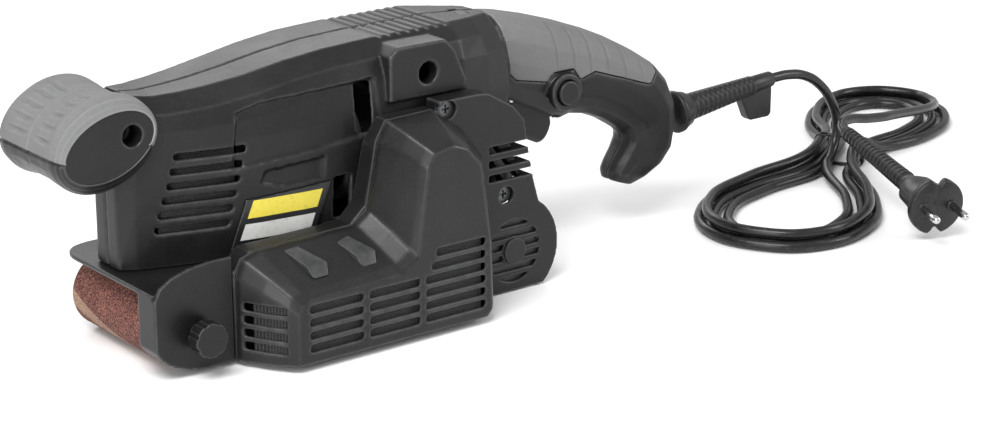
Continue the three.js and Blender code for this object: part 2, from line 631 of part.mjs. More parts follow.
// ---------------------------------------------------------------- front roller, yoke, tension
const frontAxle = shaftGroup(FRONT_AXIS_X, 0, AXIS_Z);
put('front_roller', ringBar('y', -33.8, 33.8, 0, 0, ROLLER_R - GAP, 4 + GAP, 28), ALLOY, frontAxle);
put('front_axle', bar('y', -37.2, 37.2, FRONT_AXIS_X, AXIS_Z, 4, 20), STEEL);
const yokeArm = (side) => {
  const [y0, y1] = side < 0 ? [-YOKE.armOut, -YOKE.armIn] : [YOKE.armIn, YOKE.armOut];
  return cut(
    join(
      block(FRONT_AXIS_X, YOKE.barX[1], y0, y1, AXIS_Z - 8, AXIS_Z + 8),
      bar('y', y0, y1, FRONT_AXIS_X, AXIS_Z, 9, 24),
    ),
    bar('y', y0 - 1, y1 + 1, FRONT_AXIS_X, AXIS_Z, 4 + GAP, 20),
  );
};
put('roller_yoke', join(
  yokeArm(-1),
  yokeArm(1),
  block(...YOKE.barX, -YOKE.armOut, YOKE.armOut, AXIS_Z - 8, AXIS_Z + 8),
  bar('x', YOKE.barX[1] - 1, -18, 0, AXIS_Z, YOKE.stem, 24),
), ALLOY);
put('tension_spring', ringBar('x', -60.6, -34.4, 0, AXIS_Z, 11.5, 9.5, 24), STEEL);

// The tension lever lies between the belt runs and swings out on the open side, about its stub pins.
const leverGroup = shaftGroup(LEVER.x, LEVER.y, LEVER.z);
put('tension_lever', join(
  bar('z', -8, 8, 0, 0, 5.6),
  bar('z', -11.4, 11.4, 0, 0, 2.5, 12),
  block(0, 36, 1.4, 5.4, -6, 6),
  block(32, 38, 1.6, 9, -5.8, 5.8),
), DARK_STEEL, leverGroup);

// Tracking screw through the guard's side plate, with its lobed knob.
function lobedKnob() {
  let knob = bar('y', -70, -61, 0, 0, 9.2, 24);
  for (let k = 0; k < 8; k++) {
    const angle = (k + 0.5) / 8 * 2 * Math.PI;
    knob = knob.subtract(bar('y', -71, -60, 10.5 * Math.cos(angle), 10.5 * Math.sin(angle), 2.1, 8));
  }
  return join(knob, bar('y', -61.5, -56.6, 0, 0, 5.4));
}
const trackGroup = shaftGroup(TRACK_X, 0, TRACK_Z);
put('tracking_knob', cut(lobedKnob(), bar('y', -66, -50, 0, 0, 3 + GAP, 16)), BOX_BLACK, trackGroup);
put('tracking_screw', bar('y', -65.5, -38.2, 0, 0, 3, 16), STEEL, trackGroup);

// ---------------------------------------------------------------- motor and gear train
const motor = shaftGroup(0, 0, MOTOR_Z);
const MOTOR_SHAFT_R = 4;
const onShaft = MOTOR_SHAFT_R + GAP;
put('motor_shaft', bar('x', -103, 57.5, 0, 0, MOTOR_SHAFT_R, 16), STEEL, motor);
// Slots run along the core, and the winding fills them between its two end turns.
const CORE = { x0: -56, x1: -16, radius: 17.5, slots: 8, slotR: 2.6 };
function slotBars(x0, x1, radius) {
  const bars = [];
  for (let k = 0; k < CORE.slots; k++) {
    const angle = k / CORE.slots * 2 * Math.PI;
    bars.push(bar('x', x0, x1, 14 * Math.cos(angle), 14 * Math.sin(angle), radius, 5));
  }
  return bars;
}
put('armature_core', cut(ringBar('x', CORE.x0, CORE.x1, 0, 0, CORE.radius, onShaft, 24),
  ...slotBars(CORE.x0 - 1, CORE.x1 + 1, CORE.slotR)), DARK_STEEL, motor);
put('armature_winding', cut(
  join(
    bar('x', CORE.x0 - 11, CORE.x0 - GAP, 0, 0, 11, 18, 16),
    bar('x', CORE.x1 + GAP, CORE.x1 + 8, 0, 0, 16, 18, 11),
    ...slotBars(CORE.x0 - 1, CORE.x1 + 1, CORE.slotR - 0.5),
  ),
  bar('x', -70, 0, 0, 0, onShaft, 16),
), COPPER, motor);
put('commutator', ringBar('x', -88, -68.5, 0, 0, 10, onShaft), COPPER, motor);
function fanRotor() {
  let fan = join(bar('x', -6, -3.5, 0, 0, 29, 28), bar('x', -6, 8, 0, 0, 8));
  for (let k = 0; k < 10; k++) {
    const blade = new THREE.BoxGeometry(9, 21, 1.6);
    blade.translate(0.8, 18, 0).rotateX(k / 10 * 2 * Math.PI);
    fan = fan.add(solid(blade));
  }
  return cut(fan, bar('x', -10, 12, 0, 0, onShaft, 16));
}
put('cooling_fan', fanRotor(), BOX_BLACK, motor);
// Bevel pair, pitch radii 11 and 22. Grooves cut into plain cones stand for the teeth.
const BEVEL = { pinionR: 10.6, pinionTip: 5.4, gearR: 21.4, gearTip: 11 };
const bevelFace = JACK_X - 22.5;      // large end of the pinion's cone
function toothGrooves(body, along, teeth, radiusAt, from, to) {
  const slope = Math.atan2(radiusAt[0] - radiusAt[1], from - to);
  const cuts = [];
  for (let k = 0; k < teeth; k++) {
    const groove = new THREE.BoxGeometry(1.2, 30, 1.8);
    groove.rotateZ(-slope);
    groove.translate((radiusAt[0] + radiusAt[1]) / 2, (from + to) / 2, 0);
    groove.rotateY(k / teeth * 2 * Math.PI);
    if (along === 'x') groove.rotateZ(-Math.PI / 2);
    cuts.push(solid(groove));
  }
  return cut(body, ...cuts);
}
put('bevel_pinion', toothGrooves(cut(
  join(
    bar('x', bevelFace, bevelFace + 11, 0, 0, BEVEL.pinionR, 20, BEVEL.pinionTip),
    bar('x', bevelFace - 4, bevelFace + 0.1, 0, 0, BEVEL.pinionR, 20),
  ),
  bar('x', 20, 70, 0, 0, onShaft, 16),
), 'x', 8, [BEVEL.pinionR, BEVEL.pinionTip], bevelFace, bevelFace + 11), STEEL, motor);

const jackshaft = shaftGroup(JACK_X, 0, MOTOR_Z);
put('jackshaft', bar('y', -53, 15, 0, 0, MOTOR_SHAFT_R, 16), STEEL, jackshaft);
put('bevel_gear', toothGrooves(cut(
  join(
    bar('y', -11.6, -6.4, 0, 0, BEVEL.gearR, 28, BEVEL.gearTip),
    bar('y', -17, -11.5, 0, 0, BEVEL.gearR, 28),
  ),
  bar('y', -20, 0, 0, 0, onShaft, 16),
), 'y', 14, [BEVEL.gearR, BEVEL.gearTip], -11.6, -6.4), STEEL, jackshaft);
pulley('small_pulley', DRIVE_BELT.y0, DRIVE_BELT.y1, DRIVE_BELT.small, onShaft, 8, jackshaft);

put('stator', cut(ringBar('x', -58, -14, 0, MOTOR_Z, 30, 18.2, 28),
  block(-60, -10, 27, 40, 60, 130), block(-60, -10, -40, -27, 60, 130)), DARK_STEEL);
put('motor_bearing_front', ringBar('x', -102, -94, 0, MOTOR_Z, 9, onShaft), STEEL);
put('motor_bearing_rear', ringBar('x', 33, 40, 0, MOTOR_Z, 11, onShaft), STEEL);
put('jackshaft_bearing_left', ringBar('y', -36, -30, JACK_X, MOTOR_Z, 11, onShaft), STEEL);
put('jackshaft_bearing_right', ringBar('y', 7, 13, JACK_X, MOTOR_Z, 9.5, onShaft), STEEL);
put('gear_case', cut(
  join(
    block(32, 40.2, -35.4, 20, 62, 118),
    block(32, 92, -35.4, 20, 60, 66),
    block(57, 83, -35.4, -30.2, 64, 112),
    block(57, 83, 7, 13, 64, 108),
  ),
  bar('x', 20, 50, 0, MOTOR_Z, 11 + GAP, 24),
  bar('y', -40, -25, JACK_X, MOTOR_Z, 11 + GAP, 24),
  bar('y', 5, 15, JACK_X, MOTOR_Z, 9.5 + GAP, 24),
), ALLOY);
put('brush_left', block(-82, -76, -24, -10.6, MOTOR_Z - 4, MOTOR_Z + 4), CARBON);
put('brush_right', block(-82, -76, 10.6, 24, MOTOR_Z - 4, MOTOR_Z + 4), CARBON);

// ---------------------------------------------------------------- switch, dial, lock
put('switch_body', block(134, 160, -8.4, 8.4, 101.6, 116), BOX_BLACK);
const TRIGGER_PIVOT = { x: 136.5, z: 94 };
const triggerShape = new THREE.Shape();
triggerShape.moveTo(133, 92);
triggerShape.absarc(TRIGGER_PIVOT.x, TRIGGER_PIVOT.z, 4, -2.6, 0.9, true);
triggerShape.lineTo(164, 92);
triggerShape.lineTo(167, 75);
triggerShape.quadraticCurveTo(164, 64, 157, 64.5);
triggerShape.lineTo(141, 72);
triggerShape.quadraticCurveTo(136, 76, 136, 84);
put('trigger', cut(
  slab(triggerShape, -8.6, 8.6, 1.6, 1),
  bar('y', -20, 20, TRIGGER_PIVOT.x, TRIGGER_PIVOT.z, 1.5 + GAP, 12),
), BLACK);
put('trigger_pin', bar('y', -9.2, 9.2, TRIGGER_PIVOT.x, TRIGGER_PIVOT.z, 1.5, 12), STEEL);
put('lock_button', join(
  bar('y', -24.4, -13, LOCK_BUTTON.x, LOCK_BUTTON.z, LOCK_BUTTON.radius, 28),
  bar('y', -13.2, -9.9, LOCK_BUTTON.x, LOCK_BUTTON.z, 3, 16),
), BLACK);
function dialWheel() {
  let wheel = bar('x', -SPEED_DIAL.half, SPEED_DIAL.half, 0, 0, SPEED_DIAL.radius, 28);
  for (let k = 0; k < 12; k++) {
    const angle = k / 12 * 2 * Math.PI;
    wheel = wheel.subtract(bar('x', -4, 4, 23.2 * Math.cos(angle), 23.2 * Math.sin(angle), 1.1, 4));
  }
  return cut(wheel, bar('x', -4, 4, 0, 0, 3, 16));
}
const dialGroup = shaftGroup(SPEED_DIAL.x, SPEED_DIAL.y, SPEED_DIAL.z);
put('speed_dial', dialWheel(), BOX_BLACK, dialGroup);

put('name_plate', slab(outline([[-66, 52], [-18, 55], [-8, 82], [-58, 79]]), -46, -26)
  .intersect(cut(bodyLoft(BODY_STATIONS, -1.3), bodyLoft(BODY_STATIONS, -GAP))), LABEL);

// ---------------------------------------------------------------- dust box
// Low slotted front, tall rear tower: a thin moulded tub that is open towards the side frame.
const BOX_BACK_Y = SIDE_Y - GAP;
const boxFoot = [[-80, 2.6], [-80, 48], [-76, 57], [-66, 60], [-7, 61.5], [2, 68], [9, 104], [15, 114], [44, 115],
  [62, 103], [74, 88], [80, 40], [79, 8], [75, 2.6]];
const boxFace = [[-62, 4], [-62, 32], [-60, 36], [-55, 38], [3, 40], [13, 46], [20, 94], [24, 101], [37, 103],
  [45, 100], [54, 90], [60, 48], [61.5, 8], [58, 4]];
const BOX_STATIONS = [[0, 0], [0.12, 0.04], [0.5, 0.38], [0.86, 0.78], [1, 1]];
// The tub's skin, or with an inset the space inside it, which runs out through the open back.
function boxSkin(inset) {
  const depth = DUST_BOX_OUT_Y - BOX_BACK_Y;
  return loft(BOX_STATIONS.map(([t, blend], s) => {
    const shift = inset === 0 ? 0 : [2, 0, 0, 0, inset][s];
    const y = BOX_BACK_Y + depth * t + shift;
    const ring = boxFoot.map(([x, z], i) => [
      x + (boxFace[i][0] - x) * blend,
      z + (boxFace[i][1] - z) * blend,
    ]);
    return insetOutline(ring, inset).map(([x, z]) => new THREE.Vector3(x, y, z));
  }));
}
const BOX_SLOTS = { first: 10.3, pitch: 7, count: 4, height: 3.8 };
function boxSlots() {
  const slots = [];
  for (let k = 0; k < 6; k++) {
    const z = BOX_SLOTS.first + k * BOX_SLOTS.pitch;
    const low = k < BOX_SLOTS.count;
    const runs = low ? [[-55, -22], [-18, 14], [18, 57]] : [[22 + 3 * (k - 4), 57]];
    for (const [x0, x1] of runs) slots.push(block(x0, x1, -95, -80, z, z + BOX_SLOTS.height));
    if (low) slots.push(block(-90, -60, -83, -61, z, z + BOX_SLOTS.height));
  }
  return slots;
}
put('dust_box', cut(boxSkin(0), boxSkin(2.4), ...boxSlots()), BOX_BLACK);
const filterSheet = cut(boxSkin(3.4), boxSkin(4.4)).intersect(block(-100, 56, -90, -64, 9, 50));
put('dust_filter', filterSheet, MESH_GREY);

// ---------------------------------------------------------------- mains lead
// A tapered boot with a hanger tab, a free drop to the hank on the ground, the tie and the plug.
const BOOT = { x0: HANDLE_END_X + GAP, x1: 349, z0: 62, z1: 70, r1: 4.8 };
const bootRadius = [[BOOT.x0, 10.5], [276, 10], [281, 7.4], [BOOT.x1, BOOT.r1]];
const bootCentreZ = (x) => BOOT.z0 + (BOOT.z1 - BOOT.z0) * (x - BOOT.x0) / (BOOT.x1 - BOOT.x0);
function ringAt(x, centreZ, radius, sides = 16) {
  const ring = [];
  for (let k = 0; k < sides; k++) {
    const angle = k / sides * 2 * Math.PI;
    ring.push(new THREE.Vector3(x, radius * Math.cos(angle), centreZ + radius * Math.sin(angle)));
  }
  return ring;
}
put('strain_relief', join(
  loft(bootRadius.map(([x, radius]) => ringAt(x, bootCentreZ(x), radius))),
  slab(outline([[321, 66], [346, 68], [346, 47], [328, 47]]), -3.5, 3.5),
), LEAD);

function tube(points, radius, sides, steps) {
  const path = new THREE.CatmullRomCurve3(points.map(([x, y, z]) => new THREE.Vector3(x, y, z)));
  const section = new THREE.Shape().absarc(0, 0, radius, 0, 2 * Math.PI, false);
  const round = new THREE.Shape(section.getPoints(sides).slice(0, sides));
  return solid(new THREE.ExtrudeGeometry(round, { steps, extrudePath: path, bevelEnabled: false }));
}
const HANK = { x: 418, y: 5, angle: Math.PI / 6, height: 20, waistHalf: 17 };
const cordDrop = [[BOOT.x1 + GAP, 0, BOOT.z1], [364, 0, 70], [380, 0.5, 66.5], [394, 1, 58], [405, 2, 46],
  [411.5, 3, 34], [413, 3.5, 26], [413, 3.5, HANK.height + 2 * GAP]];
put('cord', tube(cordDrop, CORD_D / 2, 10, 10), LEAD);

// The hank lies as two flat lobes on either side of its tied waist.
const hankHalf = [[-190, 0], [-178, 34], [-130, 55], [-75, 46], [-25, 21], [0, HANK.waistHalf], [30, 24],
  [75, 44], [125, 46], [155, 28], [165, 0]];
const hankRing = [...hankHalf, ...hankHalf.slice(1, -1).reverse().map(([u, v]) => [u, -v])];
const hankCurve = new THREE.SplineCurve([...hankRing, hankRing[0]].map(([u, v]) => new THREE.Vector2(u, v)));
const hankGroup = new THREE.Group();
hankGroup.position.set(HANK.x, HANK.y, 0);
hankGroup.rotation.z = HANK.angle;
sander.add(hankGroup);
const TIE = { half: 2, thick: 1.2 };
function hankSolid() {
  const shape = new THREE.Shape(hankCurve.getPoints(40).slice(0, 40));
  const body = solid(new THREE.ExtrudeGeometry(shape, { depth: HANK.height, bevelEnabled: false }));
  const inner = HANK.waistHalf - TIE.thick - 1.4;
  const strip = TIE.half + GAP;
  const seat = cut(
    block(-strip, strip, -40, 40, -1, HANK.height + 1),
    block(-strip - 1, strip + 1, -inner, inner, TIE.thick + GAP + 0.3, HANK.height - TIE.thick - GAP),
  );
  return cut(body, seat);
}
put('cord_hank', hankSolid(), LEAD, hankGroup);
put('cord_tie', cut(
  block(-TIE.half, TIE.half, 1 - HANK.waistHalf, HANK.waistHalf - 1, 0.2, HANK.height),
  block(-9, 9, TIE.thick + 1 - HANK.waistHalf, HANK.waistHalf - 1 - TIE.thick, 0.2 + TIE.thick,
    HANK.height - TIE.thick),
), RUBBER, hankGroup);

// Two-pin contour plug: built along its own +Z, then laid down towards its pins.
const PLUG = { from: [390, -27, 34], to: [345, -158, 19], pinLength: 19, pinR: 2.4, pinOffset: 9.5 };
const plugStart = new THREE.Vector3(...PLUG.from);
const plugEnd = new THREE.Vector3(...PLUG.to);
const plugLength = plugStart.distanceTo(plugEnd) - PLUG.pinLength;
const plugGroup = new THREE.Group();
plugGroup.position.copy(plugStart);
const plugAhead = plugEnd.clone().sub(plugStart).normalize();
const plugSide = new THREE.Vector3(0, 0, 1).cross(plugAhead).normalize();
const plugUp = plugAhead.clone().cross(plugSide);
plugGroup.quaternion.setFromRotationMatrix(new THREE.Matrix4().makeBasis(plugSide, plugUp, plugAhead));
sander.add(plugGroup);
function plugRing(z, halfWide, halfThick) {
  const ring = [];
  for (let k = 0; k < 20; k++) {
    const angle = k / 20 * 2 * Math.PI;
    ring.push(new THREE.Vector3(halfWide * Math.cos(angle), halfThick * Math.sin(angle), z));
  }
  return ring;
}
const FLANGE = { radius: 17.5, thick: 5 };
function plugBody() {
  const shoulder = plugLength - 34;
  const grip = loft([plugRing(0, 4, 4), plugRing(shoulder, 6.2, 6.2), plugRing(shoulder + 6, 11, 8),
    plugRing(plugLength - 2, 15, 10)]);
  const flange = bar('z', plugLength - FLANGE.thick, plugLength, 0, 0, FLANGE.radius, 28);
  const notches = [1, -1].map((side) => block(-2.6, 2.6, side > 0 ? 12 : -20, side > 0 ? 20 : -12,
    plugLength - 9, plugLength + 1));
  const pinHoles = [1, -1].map((side) => bar('z', plugLength - 4, plugLength + 1, side * PLUG.pinOffset, 0,
    PLUG.pinR + GAP, 14));
  return cut(join(grip, flange), ...notches, ...pinHoles);
}
put('plug', plugBody(), LEAD, plugGroup);
const pinEnd = plugLength + PLUG.pinLength;
for (const [name, side] of [['plug_pin_left', 1], ['plug_pin_right', -1]]) {
  put(name, join(
    bar('z', plugLength - 3.6, pinEnd - 2, side * PLUG.pinOffset, 0, PLUG.pinR, 14),
    bar('z', pinEnd - 2.1, pinEnd, side * PLUG.pinOffset, 0, PLUG.pinR, 14, 1),
  ), STEEL, plugGroup);
}

export default sander;
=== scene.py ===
import math

import bmesh
import bpy
from mathutils import Matrix, Vector


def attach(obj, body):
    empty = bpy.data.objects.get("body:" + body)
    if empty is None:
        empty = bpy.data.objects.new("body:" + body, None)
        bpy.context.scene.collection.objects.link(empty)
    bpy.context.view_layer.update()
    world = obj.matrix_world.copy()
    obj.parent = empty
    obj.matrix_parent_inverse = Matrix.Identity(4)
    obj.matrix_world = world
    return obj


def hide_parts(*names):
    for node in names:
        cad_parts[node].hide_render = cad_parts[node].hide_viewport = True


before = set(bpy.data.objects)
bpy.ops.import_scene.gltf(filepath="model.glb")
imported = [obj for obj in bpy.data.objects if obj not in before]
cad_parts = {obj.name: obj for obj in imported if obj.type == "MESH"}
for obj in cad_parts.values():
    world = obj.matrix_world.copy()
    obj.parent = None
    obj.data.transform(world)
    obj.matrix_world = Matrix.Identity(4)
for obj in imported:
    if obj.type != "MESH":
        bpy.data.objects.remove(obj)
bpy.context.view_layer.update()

# Looks of a handheld belt sander on its frame: X to the rear handle, Z up, the belt's underside at z = 0.
# Tables of points, profiles and names that end in _MM are in millimetres and are turned into metres by at()
# or MM where they are used. Every other length is in metres.
MM = 0.001
BELT_WIDTH = 76 * MM
BELT_THICK = 1 * MM
ROLLER_R = 20 * MM
REAR_AXIS_X = 101.5 * MM
BELT_LENGTH = 533 * MM
CORD_D = 6.2 * MM


def at(x, y, z):
    """A point given in millimetres."""
    return Vector((x, y, z)) * MM


# ---------------------------------------------------------------- camera
SENSOR_MM, LENS_MM = 36, 91
CAMERA_AT = (-0.7114, -1.0787, 0.4692)
CAMERA_TILT, CAMERA_TURN = 72.1, -38      # degrees up from straight down, and about Z

camera_data = bpy.data.cameras.new("camera")
camera_data.sensor_width = SENSOR_MM
camera_data.lens = LENS_MM
camera = bpy.data.objects.new("camera", camera_data)
camera.location = CAMERA_AT
camera.rotation_euler = (math.radians(CAMERA_TILT), 0, math.radians(CAMERA_TURN))
bpy.context.scene.collection.objects.link(camera)
bpy.context.scene.camera = camera


# ---------------------------------------------------------------- mesh helpers
def piece_from(name, points, faces, material):
    """A smooth-shaded mesh object with its faces turned outward."""
    mesh = bpy.data.meshes.new(name)
    mesh.from_pydata([tuple(p) for p in points], [], faces)
    mesh.validate()
    made = bmesh.new()
    made.from_mesh(mesh)
    bmesh.ops.recalc_face_normals(made, faces=made.faces)
    made.to_mesh(mesh)
    made.free()
    mesh.polygons.foreach_set("use_smooth", [True] * len(mesh.polygons))
    piece = bpy.data.objects.new(name, mesh)
    bpy.context.scene.collection.objects.link(piece)
    mesh.materials.append(material)
    return piece


def loft(name, rings, material, closed_ends=True):
    """A skin through rings of equally many points."""
    count = len(rings[0])
    points = [p for ring in rings for p in ring]
    faces = []
    for r in range(len(rings) - 1):
        for i in range(count):
            a, b = r * count + i, r * count + (i + 1) % count
            faces.append((a, b, b + count, a + count))
    if closed_ends:
        last = (len(rings) - 1) * count
        faces.append(tuple(range(count))[::-1])
        faces.append(tuple(range(last, last + count)))
    return piece_from(name, points, faces, material)


def lathe(name, profile, place, material, sides=48, closed_ends=True):
    """Turns (along, radius) stations about the local Z of the matrix place."""
    angles = [k / sides * 2 * math.pi for k in range(sides)]
    rings = [[place @ (Vector((radius * math.cos(a), radius * math.sin(a), along)) * MM) for a in angles]
             for along, radius in profile]
    return loft(name, rings, material, closed_ends)


def crease_edges(piece, width, angle=35, segments=2):
    """Small rounded edges, then normals that keep the flat faces flat."""
    bevel = piece.modifiers.new("edges", "BEVEL")
    bevel.width = width
    bevel.segments = segments
    bevel.limit_method = "ANGLE"
    bevel.angle_limit = math.radians(angle)
    bevel.harden_normals = True
    piece.data.polygons.foreach_set("use_smooth", [True] * len(piece.data.polygons))


def looking(origin, direction, up=(0, 0, 1)):
    """A matrix at origin whose Z runs along direction."""
    ahead = Vector(direction).normalized()
    side = Vector(up).cross(ahead)
    if side.length < 1e-6:
        side = Vector((1, 0, 0))
    side.normalize()
    turn = Matrix((side, ahead.cross(side), ahead)).transposed().to_4x4()
    return Matrix.Translation(origin) @ turn


# ---------------------------------------------------------------- materials
class Finish:
    """A Principled material with a few short ways to add texture nodes in object coordinates."""

    def __init__(self, name, roughness, metallic=0.0, specular=0.5, coat=0.0):
        self.material = bpy.data.materials.new(name)
        self.material.use_nodes = True
        self.tree = self.material.node_tree
        self.shader = self.tree.nodes["Principled BSDF"]
        self.shader.inputs["Roughness"].default_value = roughness
        self.shader.inputs["Metallic"].default_value = metallic
        self.shader.inputs["Specular IOR Level"].default_value = specular
        self.shader.inputs["Coat Weight"].default_value = coat
        self.place = self.tree.nodes.new("ShaderNodeTexCoord").outputs["Object"]
        self.height = None

    def node(self, kind, **settings):
        made = self.tree.nodes.new(kind)
        for key, value in settings.items():
            setattr(made, key, value)
        return made

    def link(self, source, target):
        self.tree.links.new(source, target)

    def stretched(self, scale, angle=0.0):
        mapping = self.node("ShaderNodeMapping")
        mapping.inputs["Scale"].default_value = scale
        mapping.inputs["Rotation"].default_value = (0, angle, 0)
        self.link(self.place, mapping.inputs["Vector"])
        return mapping.outputs["Vector"]

    def noise(self, scale, detail=3.0, rough=0.55, place=None):
        made = self.node("ShaderNodeTexNoise")
        made.inputs["Scale"].default_value = scale
        made.inputs["Detail"].default_value = detail
        made.inputs["Roughness"].default_value = rough
        self.link(place or self.place, made.inputs["Vector"])
        return made.outputs["Fac"]

    def wave(self, scale, place=None, direction="X", distortion=0.0):
        made = self.node("ShaderNodeTexWave", bands_direction=direction)
        made.inputs["Scale"].default_value = scale
        made.inputs["Distortion"].default_value = distortion
        self.link(place or self.place, made.inputs["Vector"])
        return made.outputs["Fac"]

    def math(self, operation, a, b=None):
        made = self.node("ShaderNodeMath", operation=operation)
        for slot, value in zip(made.inputs, (a, b)):
            if isinstance(value, (int, float)):
                slot.default_value = value
            elif value is not None:
                self.link(value, slot)
        return made.outputs["Value"]

    def ramp(self, source, stops):
        made = self.node("ShaderNodeValToRGB")
        bar = made.color_ramp
        while len(bar.elements) < len(stops):
            bar.elements.new(0.5)
        for element, (position, color) in zip(bar.elements, stops):
            element.position = position
            element.color = (*color, 1)
        self.link(source, made.inputs["Fac"])
        return made.outputs["Color"]

    def levels(self, source, low, high, out_low=0.0, out_high=1.0):
        made = self.node("ShaderNodeMapRange")
        for key, value in zip(("From Min", "From Max", "To Min", "To Max"), (low, high, out_low, out_high)):
            made.inputs[key].default_value = value
        self.link(source, made.inputs["Value"])
        return made.outputs["Result"]

    def mix(self, factor, a, b):
        made = self.node("ShaderNodeMix", data_type="RGBA")
        self.link(factor, made.inputs["Factor"])
        for key, value in ((6, a), (7, b)):
            if isinstance(value, tuple):
                made.inputs[key].default_value = (*value, 1)
            else:
                self.link(value, made.inputs[key])
        return made.outputs[2]

    def edges(self, low=0.506, high=0.55):
        """How strongly a convex edge gets its painted highlight."""
        return self.levels(self.node("ShaderNodeNewGeometry").outputs["Pointiness"], low, high)

    def bump(self, source, distance, strength=1.0):
        made = self.node("ShaderNodeBump")
        made.inputs["Distance"].default_value = distance
        made.inputs["Strength"].default_value = strength
        self.link(source, made.inputs["Height"])
        if self.height is not None:
            self.link(self.height, made.inputs["Normal"])
        self.height = made.outputs["Normal"]

    def finish(self, color, roughness=None):
        self.link(color, self.shader.inputs["Base Color"])
        if roughness is not None:
            self.link(roughness, self.shader.inputs["Roughness"])
        if self.height is not None:
            self.link(self.height, self.shader.inputs["Normal"])
        return self.material


def moulded_plastic(name, dark, light, rough, grain=0.05 * MM):
    """Spark-eroded moulding: fine grain, pale dust in it, slow tone changes and a painted highlight on its
    convex edges.
    """
    made = Finish(name, rough, specular=0.3)
    speckle = made.noise(1300, 2)
    cloud = made.noise(28, 4)
    tone = made.ramp(cloud, [(0.3, dark), (0.7, light)])
    dust = made.levels(speckle, 0.6, 0.8, 0.0, 0.4)
    dusted = made.mix(dust, tone, tuple(min(1, 3.2 * c + 0.02) for c in light))
    # The colour named worn is a painted highlight: convex edges, found by pointiness, are made paler to stand
    # in for light catching them.
    worn = made.mix(made.math("MULTIPLY", made.edges(), made.noise(180, 3)), dusted,
                    tuple(7.0 * c for c in light))
    made.bump(made.noise(1100, 3), grain, 0.7)
    made.bump(made.noise(60, 3), 0.15 * MM, 0.12)
    gloss = made.math("ADD", made.levels(cloud, 0.2, 0.8, rough - 0.06, rough + 0.08),
                      made.levels(speckle, 0.3, 0.7, -0.05, 0.07))
    return made.finish(worn, gloss)


HOUSING = moulded_plastic("housing_plastic", (0.0065, 0.0066, 0.007), (0.0115, 0.0116, 0.012), 0.36)
BOX = moulded_plastic("dust_box_plastic", (0.008, 0.0082, 0.0085), (0.014, 0.0142, 0.0145), 0.31)
KNOB = moulded_plastic("knob_plastic", (0.006, 0.006, 0.0065), (0.012, 0.012, 0.0125), 0.34)


def soft_grip(name, ridges=None):
    """Grey overmould: matt, with moulding grain, a painted highlight on its convex edges and shallow finger
    grooves.
    """
    made = Finish(name, 0.62, specular=0.3)
    cloud = made.noise(18, 4)
    tone = made.ramp(cloud, [(0.28, (0.125, 0.126, 0.127)), (0.72, (0.158, 0.159, 0.160))])
    grime = made.levels(made.noise(520, 4), 0.5, 0.75, 0.0, 0.28)
    dirty = made.mix(grime, tone, (0.085, 0.085, 0.084))
    # Convex edges, found by pointiness, are made paler here: a painted highlight.
    grip_edge_highlight = made.mix(made.math("MULTIPLY", made.edges(0.51, 0.57), 0.6), dirty, (0.27, 0.27, 0.268))
    made.bump(made.noise(1400, 2), 0.06 * MM, 0.6)
    if ridges is not None:
        ridges(made)
    return made.finish(grip_edge_highlight, made.levels(cloud, 0.2, 0.8, 0.6, 0.82))


PALM_RIDGES_IN = (0.150, 0.162)           # where along X the palm's grooves fade in, and out again
PALM_RIDGES_OUT = (0.222, 0.234)


def palm_ridges(made):
    """Shallow curved grooves in rows along the palm."""
    parts = made.node("ShaderNodeSeparateXYZ")
    made.link(made.place, parts.inputs["Vector"])
    rows = made.wave(26, made.stretched((1, 0.25, 0.4), math.radians(18)), "X", 1.2)
    groove = made.levels(rows, 0.0, 0.16)
    fade = made.levels(parts.outputs["X"], *PALM_RIDGES_IN)
    stop = made.levels(parts.outputs["X"], *PALM_RIDGES_OUT, 1.0, 0.0)
    sunk = made.math("MULTIPLY", made.math("SUBTRACT", 1.0, groove), made.math("MULTIPLY", fade, stop))
    made.bump(made.math("SUBTRACT", 1.0, sunk), 0.6 * MM, 0.8)


FRONT_GRIP = soft_grip("front_grip")
PALM_GRIP = soft_grip("palm_grip", palm_ridges)


def rubber(name, tone=0.014, rough=0.62, grain=900):
    """Black rubber or soft PVC with a little dust on it."""
    made = Finish(name, rough, specular=0.35)
    cloud = made.noise(90, 4)
    color = made.ramp(cloud, [(0.3, (tone,) * 3), (0.75, (tone * 2.1,) * 3)])
    dusty = made.mix(made.levels(made.noise(grain, 3), 0.58, 0.8, 0.0, 0.35), color, (0.09, 0.088, 0.085))
    made.bump(made.noise(grain, 3), 0.08 * MM, 0.5)
    return made.finish(dusty, made.levels(cloud, 0.2, 0.8, rough - 0.08, rough + 0.12))


RUBBER = rubber("rubber")
CORD_SHEATH = rubber("cord_sheath", 0.007, 0.28, 420)
MOULDED_LEAD = rubber("moulded_lead_rubber", 0.008, 0.36, 700)


def metal(name, color, rough, turned_about, scratch=0.06 * MM):
    """Machined metal: fine tool marks stretched round or along the axis named, with dull patches."""
    made = Finish(name, rough, metallic=1.0)
    scale = {"x": (1, 0.04, 0.04), "y": (0.04, 1, 0.04), "z": (0.04, 0.04, 1)}[turned_about]
    marks = made.noise(1800, 4, 0.6, made.stretched(scale))
    cloud = made.noise(70, 4)
    tone = made.ramp(cloud, [(0.3, tuple(0.72 * c for c in color)), (0.7, color)])
    marked = made.mix(made.levels(marks, 0.35, 0.7, 0.0, 0.25), tone, tuple(0.45 * c for c in color))
    made.bump(marks, scratch, 0.35)
    return made.finish(marked, made.levels(made.noise(140, 5), 0.2, 0.8, rough - 0.08, rough + 0.16))


STEEL = metal("turned_steel", (0.60, 0.61, 0.62), 0.28, "y")
SHAFT_STEEL = metal("shaft_steel", (0.58, 0.59, 0.60), 0.24, "x")
DARK_STEEL = metal("blackened_steel", (0.16, 0.165, 0.17), 0.4, "z")
ALLOY = metal("cast_alloy", (0.42, 0.425, 0.43), 0.46, "z", 0.12 * MM)
CHROME = metal("plated_pin", (0.72, 0.72, 0.73), 0.16, "y", 0.02 * MM)
BRASS = metal("commutator_copper", (0.62, 0.34, 0.18), 0.3, "x")


